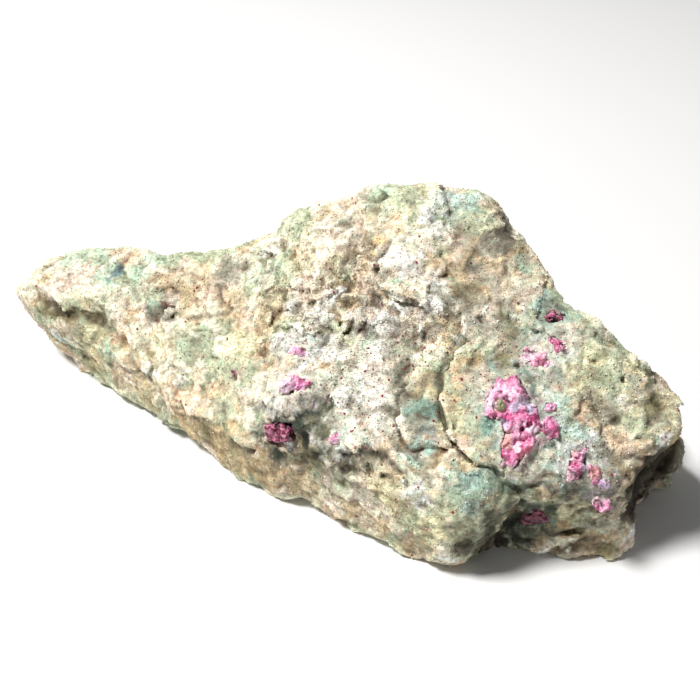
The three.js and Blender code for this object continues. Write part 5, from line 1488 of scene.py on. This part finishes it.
surface.inputs["Roughness"].default_value = 0.75
surface.inputs["Specular IOR Level"].default_value = 0.4
schist_block.data.materials.append(schist_material)
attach(schist_block, "root")
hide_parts("schist_matrix")

# The sugary grains: loose and half-loose grains of feldspar and quartz, about a quarter of a
# millimetre across, that the broken schist is crusted with. They are blunt little blocks of six
# shapes, strewn over the block's skin in three lots and sunk a little into it.
GRAIN_SHAPES = 6
GRAIN_LOTS = 3
GRAINS_PER_SQUARE_METRE = 5.2e5
GRAIN_TURN = (6.2832, 6.2832, 6.2832)
grain_set = bpy.data.collections.new("grain_shapes")
random = np.random.default_rng(SEED + 400)
corners = np.array(list(itertools.product((-0.5, 0.5), repeat=3)), np.float32)
sides = [(0, 1, 3, 2), (4, 6, 7, 5), (0, 4, 5, 1), (2, 3, 7, 6), (0, 2, 6, 4), (1, 5, 7, 3)]
for number in range(GRAIN_SHAPES):
    shape = corners * random.uniform(0.7, 1.15, 3) + random.uniform(-0.14, 0.14, corners.shape)
    mesh = bpy.data.meshes.new(f"grain_shape_{number}")
    mesh.from_pydata((shape * MM).tolist(), [], sides)
    grain_set.objects.link(bpy.data.objects.new(f"grain_shape_{number}", mesh))


def scatter_tree(name, material, share_name):
    """Geometry Nodes: strews the shapes over a surface, each turned and sized at random, more of them
    where the surface's own share is high."""
    tree = bpy.data.node_groups.new(name, "GeometryNodeTree")
    face = tree.interface
    face.new_socket("Surface", in_out="INPUT", socket_type="NodeSocketGeometry")
    face.new_socket("Grains", in_out="OUTPUT", socket_type="NodeSocketGeometry")
    for label, kind, value in [("Shapes", "NodeSocketCollection", None),
                               ("Per Square Metre", "NodeSocketFloat", 1.0),
                               ("Least Size", "NodeSocketFloat", 0.4), ("Most Size", "NodeSocketFloat", 1.0),
                               ("Sunk", "NodeSocketFloat", 0.0), ("Seed", "NodeSocketInt", 0)]:
        socket = face.new_socket(label, in_out="INPUT", socket_type=kind)
        if value is not None:
            socket.default_value = value
    node = node_maker(tree)
    given = node("NodeGroupInput").outputs
    share = node("GeometryNodeInputNamedAttribute", {"Name": share_name}, data_type="FLOAT")
    many = node("ShaderNodeMath", {0: share.outputs[0], 1: given["Per Square Metre"]}, operation="MULTIPLY")
    spread = node("GeometryNodeDistributePointsOnFaces",
                  {"Mesh": given["Surface"], "Density": many.outputs[0], "Seed": given["Seed"]})
    size = node("FunctionNodeRandomValue", {"Seed": given["Seed"]}, data_type="FLOAT")
    tree.links.new(given["Least Size"], size.inputs[2])
    tree.links.new(given["Most Size"], size.inputs[3])
    turn = node("FunctionNodeRandomValue", {"Seed": given["Seed"], 0: (0, 0, 0), 1: GRAIN_TURN},
                data_type="FLOAT_VECTOR")
    down = node("ShaderNodeVectorMath", {0: spread.outputs["Normal"], 3: given["Sunk"]}, operation="SCALE")
    moved = node("GeometryNodeSetPosition", {"Geometry": spread.outputs["Points"], "Offset": down.outputs[0]})
    shapes = node("GeometryNodeCollectionInfo", {"Collection": given["Shapes"], "Separate Children": True,
                                                 "Reset Children": True})
    strewn = node("GeometryNodeInstanceOnPoints",
                  {"Points": moved.outputs[0], "Instance": shapes.outputs[0], "Pick Instance": True,
                   "Rotation": turn.outputs[0], "Scale": size.outputs[1]})
    glint = node("FunctionNodeRandomValue", {"Seed": given["Seed"], 2: 0.0, 3: 1.0}, data_type="FLOAT")
    marked = node("GeometryNodeStoreNamedAttribute",
                  {"Geometry": strewn.outputs[0], "Name": "grain_light", "Value": glint.outputs[1]},
                  data_type="FLOAT", domain="INSTANCE")
    solid_grains = node("GeometryNodeRealizeInstances", {"Geometry": marked.outputs[0]})
    coated = node("GeometryNodeSetMaterial", {"Geometry": solid_grains.outputs[0], "Material": material})
    node("NodeGroupOutput", {"Grains": coated.outputs[0]})
    return tree


def strew(name, surface_piece, tree, slot, **settings):
    """Grains over a surface as one plain mesh."""
    carrier = bpy.data.objects.new(name, surface_piece.data)
    scene.collection.objects.link(carrier)
    maker = carrier.modifiers.new("strew", "NODES")
    maker.node_group = tree
    ids = {item.name: item.identifier for item in tree.interface.items_tree if item.in_out == "INPUT"}
    for label, value in settings.items():
        maker[ids[label.replace("_", " ")]] = value
    bpy.context.view_layer.update()
    made = bpy.data.meshes.new_from_object(carrier.evaluated_get(bpy.context.evaluated_depsgraph_get()))
    carrier.modifiers.remove(maker)
    carrier.data = made
    made.name = name
    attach(carrier, "root")


grain_material, tree, surface, node = shader("schist_grain")
place = node("ShaderNodeTexCoord").outputs["Object"]
tint = node("ShaderNodeAttribute", attribute_name="stone_tint").outputs["Color"]
glint = node("ShaderNodeAttribute", attribute_name="grain_light").outputs["Fac"]
speckle = node("ShaderNodeTexNoise", {"Vector": place, "Scale": 3000.0, "Detail": 2.0})
# most grains take the stone's own tint, lighter or darker, and a few of them are near white: partly white
# grains and partly painted glints
tinted = times(node, tint, stretched(node, glint, 0.0, 1.0, 0.75, 1.35))
white_grain_and_glint = stretched(node, glint, 0.965, 0.985, 0.0, 0.5)
mixed = node("ShaderNodeMix", {0: white_grain_and_glint, 6: tinted, 7: (0.86, 0.84, 0.78, 1)}, data_type="RGBA")
mixed = times(node, mixed.outputs[2], stretched(node, speckle.outputs["Fac"], 0.3, 0.7, 0.75, 1.2))
tree.links.new(mixed, surface.inputs["Base Color"])
surface.inputs["Roughness"].default_value = 0.45
scatter = scatter_tree("strewn_grains", grain_material, "grain_share")
for number in range(GRAIN_LOTS):
    strew(f"sugar_grains_{number + 1}", schist_block, scatter, "schist", Shapes=grain_set,
          Per_Square_Metre=GRAINS_PER_SQUARE_METRE, Least_Size=0.14, Most_Size=0.36, Sunk=-0.00006,
          Seed=SEED + 500 + number)

# The red specks: tiny crystals of dark ruby, under half a millimetre across, that are scattered
# through the schist and show as dark red dots. They are the same blunt blocks, thinly strewn.
SPECKS_PER_SQUARE_METRE = 9.5e4
SPECK_REDS = ((*linear(74, 12, 28), 1), (*linear(146, 38, 62), 1))
speck_material, tree, surface, node = shader("ruby_speck")
place = node("ShaderNodeTexCoord").outputs["Object"]
glint = node("ShaderNodeAttribute", attribute_name="grain_light").outputs["Fac"]
speckle = node("ShaderNodeTexNoise", {"Vector": place, "Scale": 3000.0})
red = node("ShaderNodeMix", {0: glint, 6: SPECK_REDS[0], 7: SPECK_REDS[1]}, data_type="RGBA")
mixed = times(node, red.outputs[2], stretched(node, speckle.outputs["Fac"], 0.3, 0.7, 0.6, 1.4))
tree.links.new(mixed, surface.inputs["Base Color"])
surface.inputs["Roughness"].default_value = 0.35
surface.inputs["IOR"].default_value = 1.7
scatter = scatter_tree("strewn_specks", speck_material, "speck_share")
strew("ruby_specks", schist_block, scatter, "ruby_maroon", Shapes=grain_set,
      Per_Square_Metre=SPECKS_PER_SQUARE_METRE, Least_Size=0.15, Most_Size=0.47, Sunk=0.00001,
      Seed=SEED + 600)
for shape in list(grain_set.objects):
    bpy.data.objects.remove(shape)
bpy.data.collections.remove(grain_set)
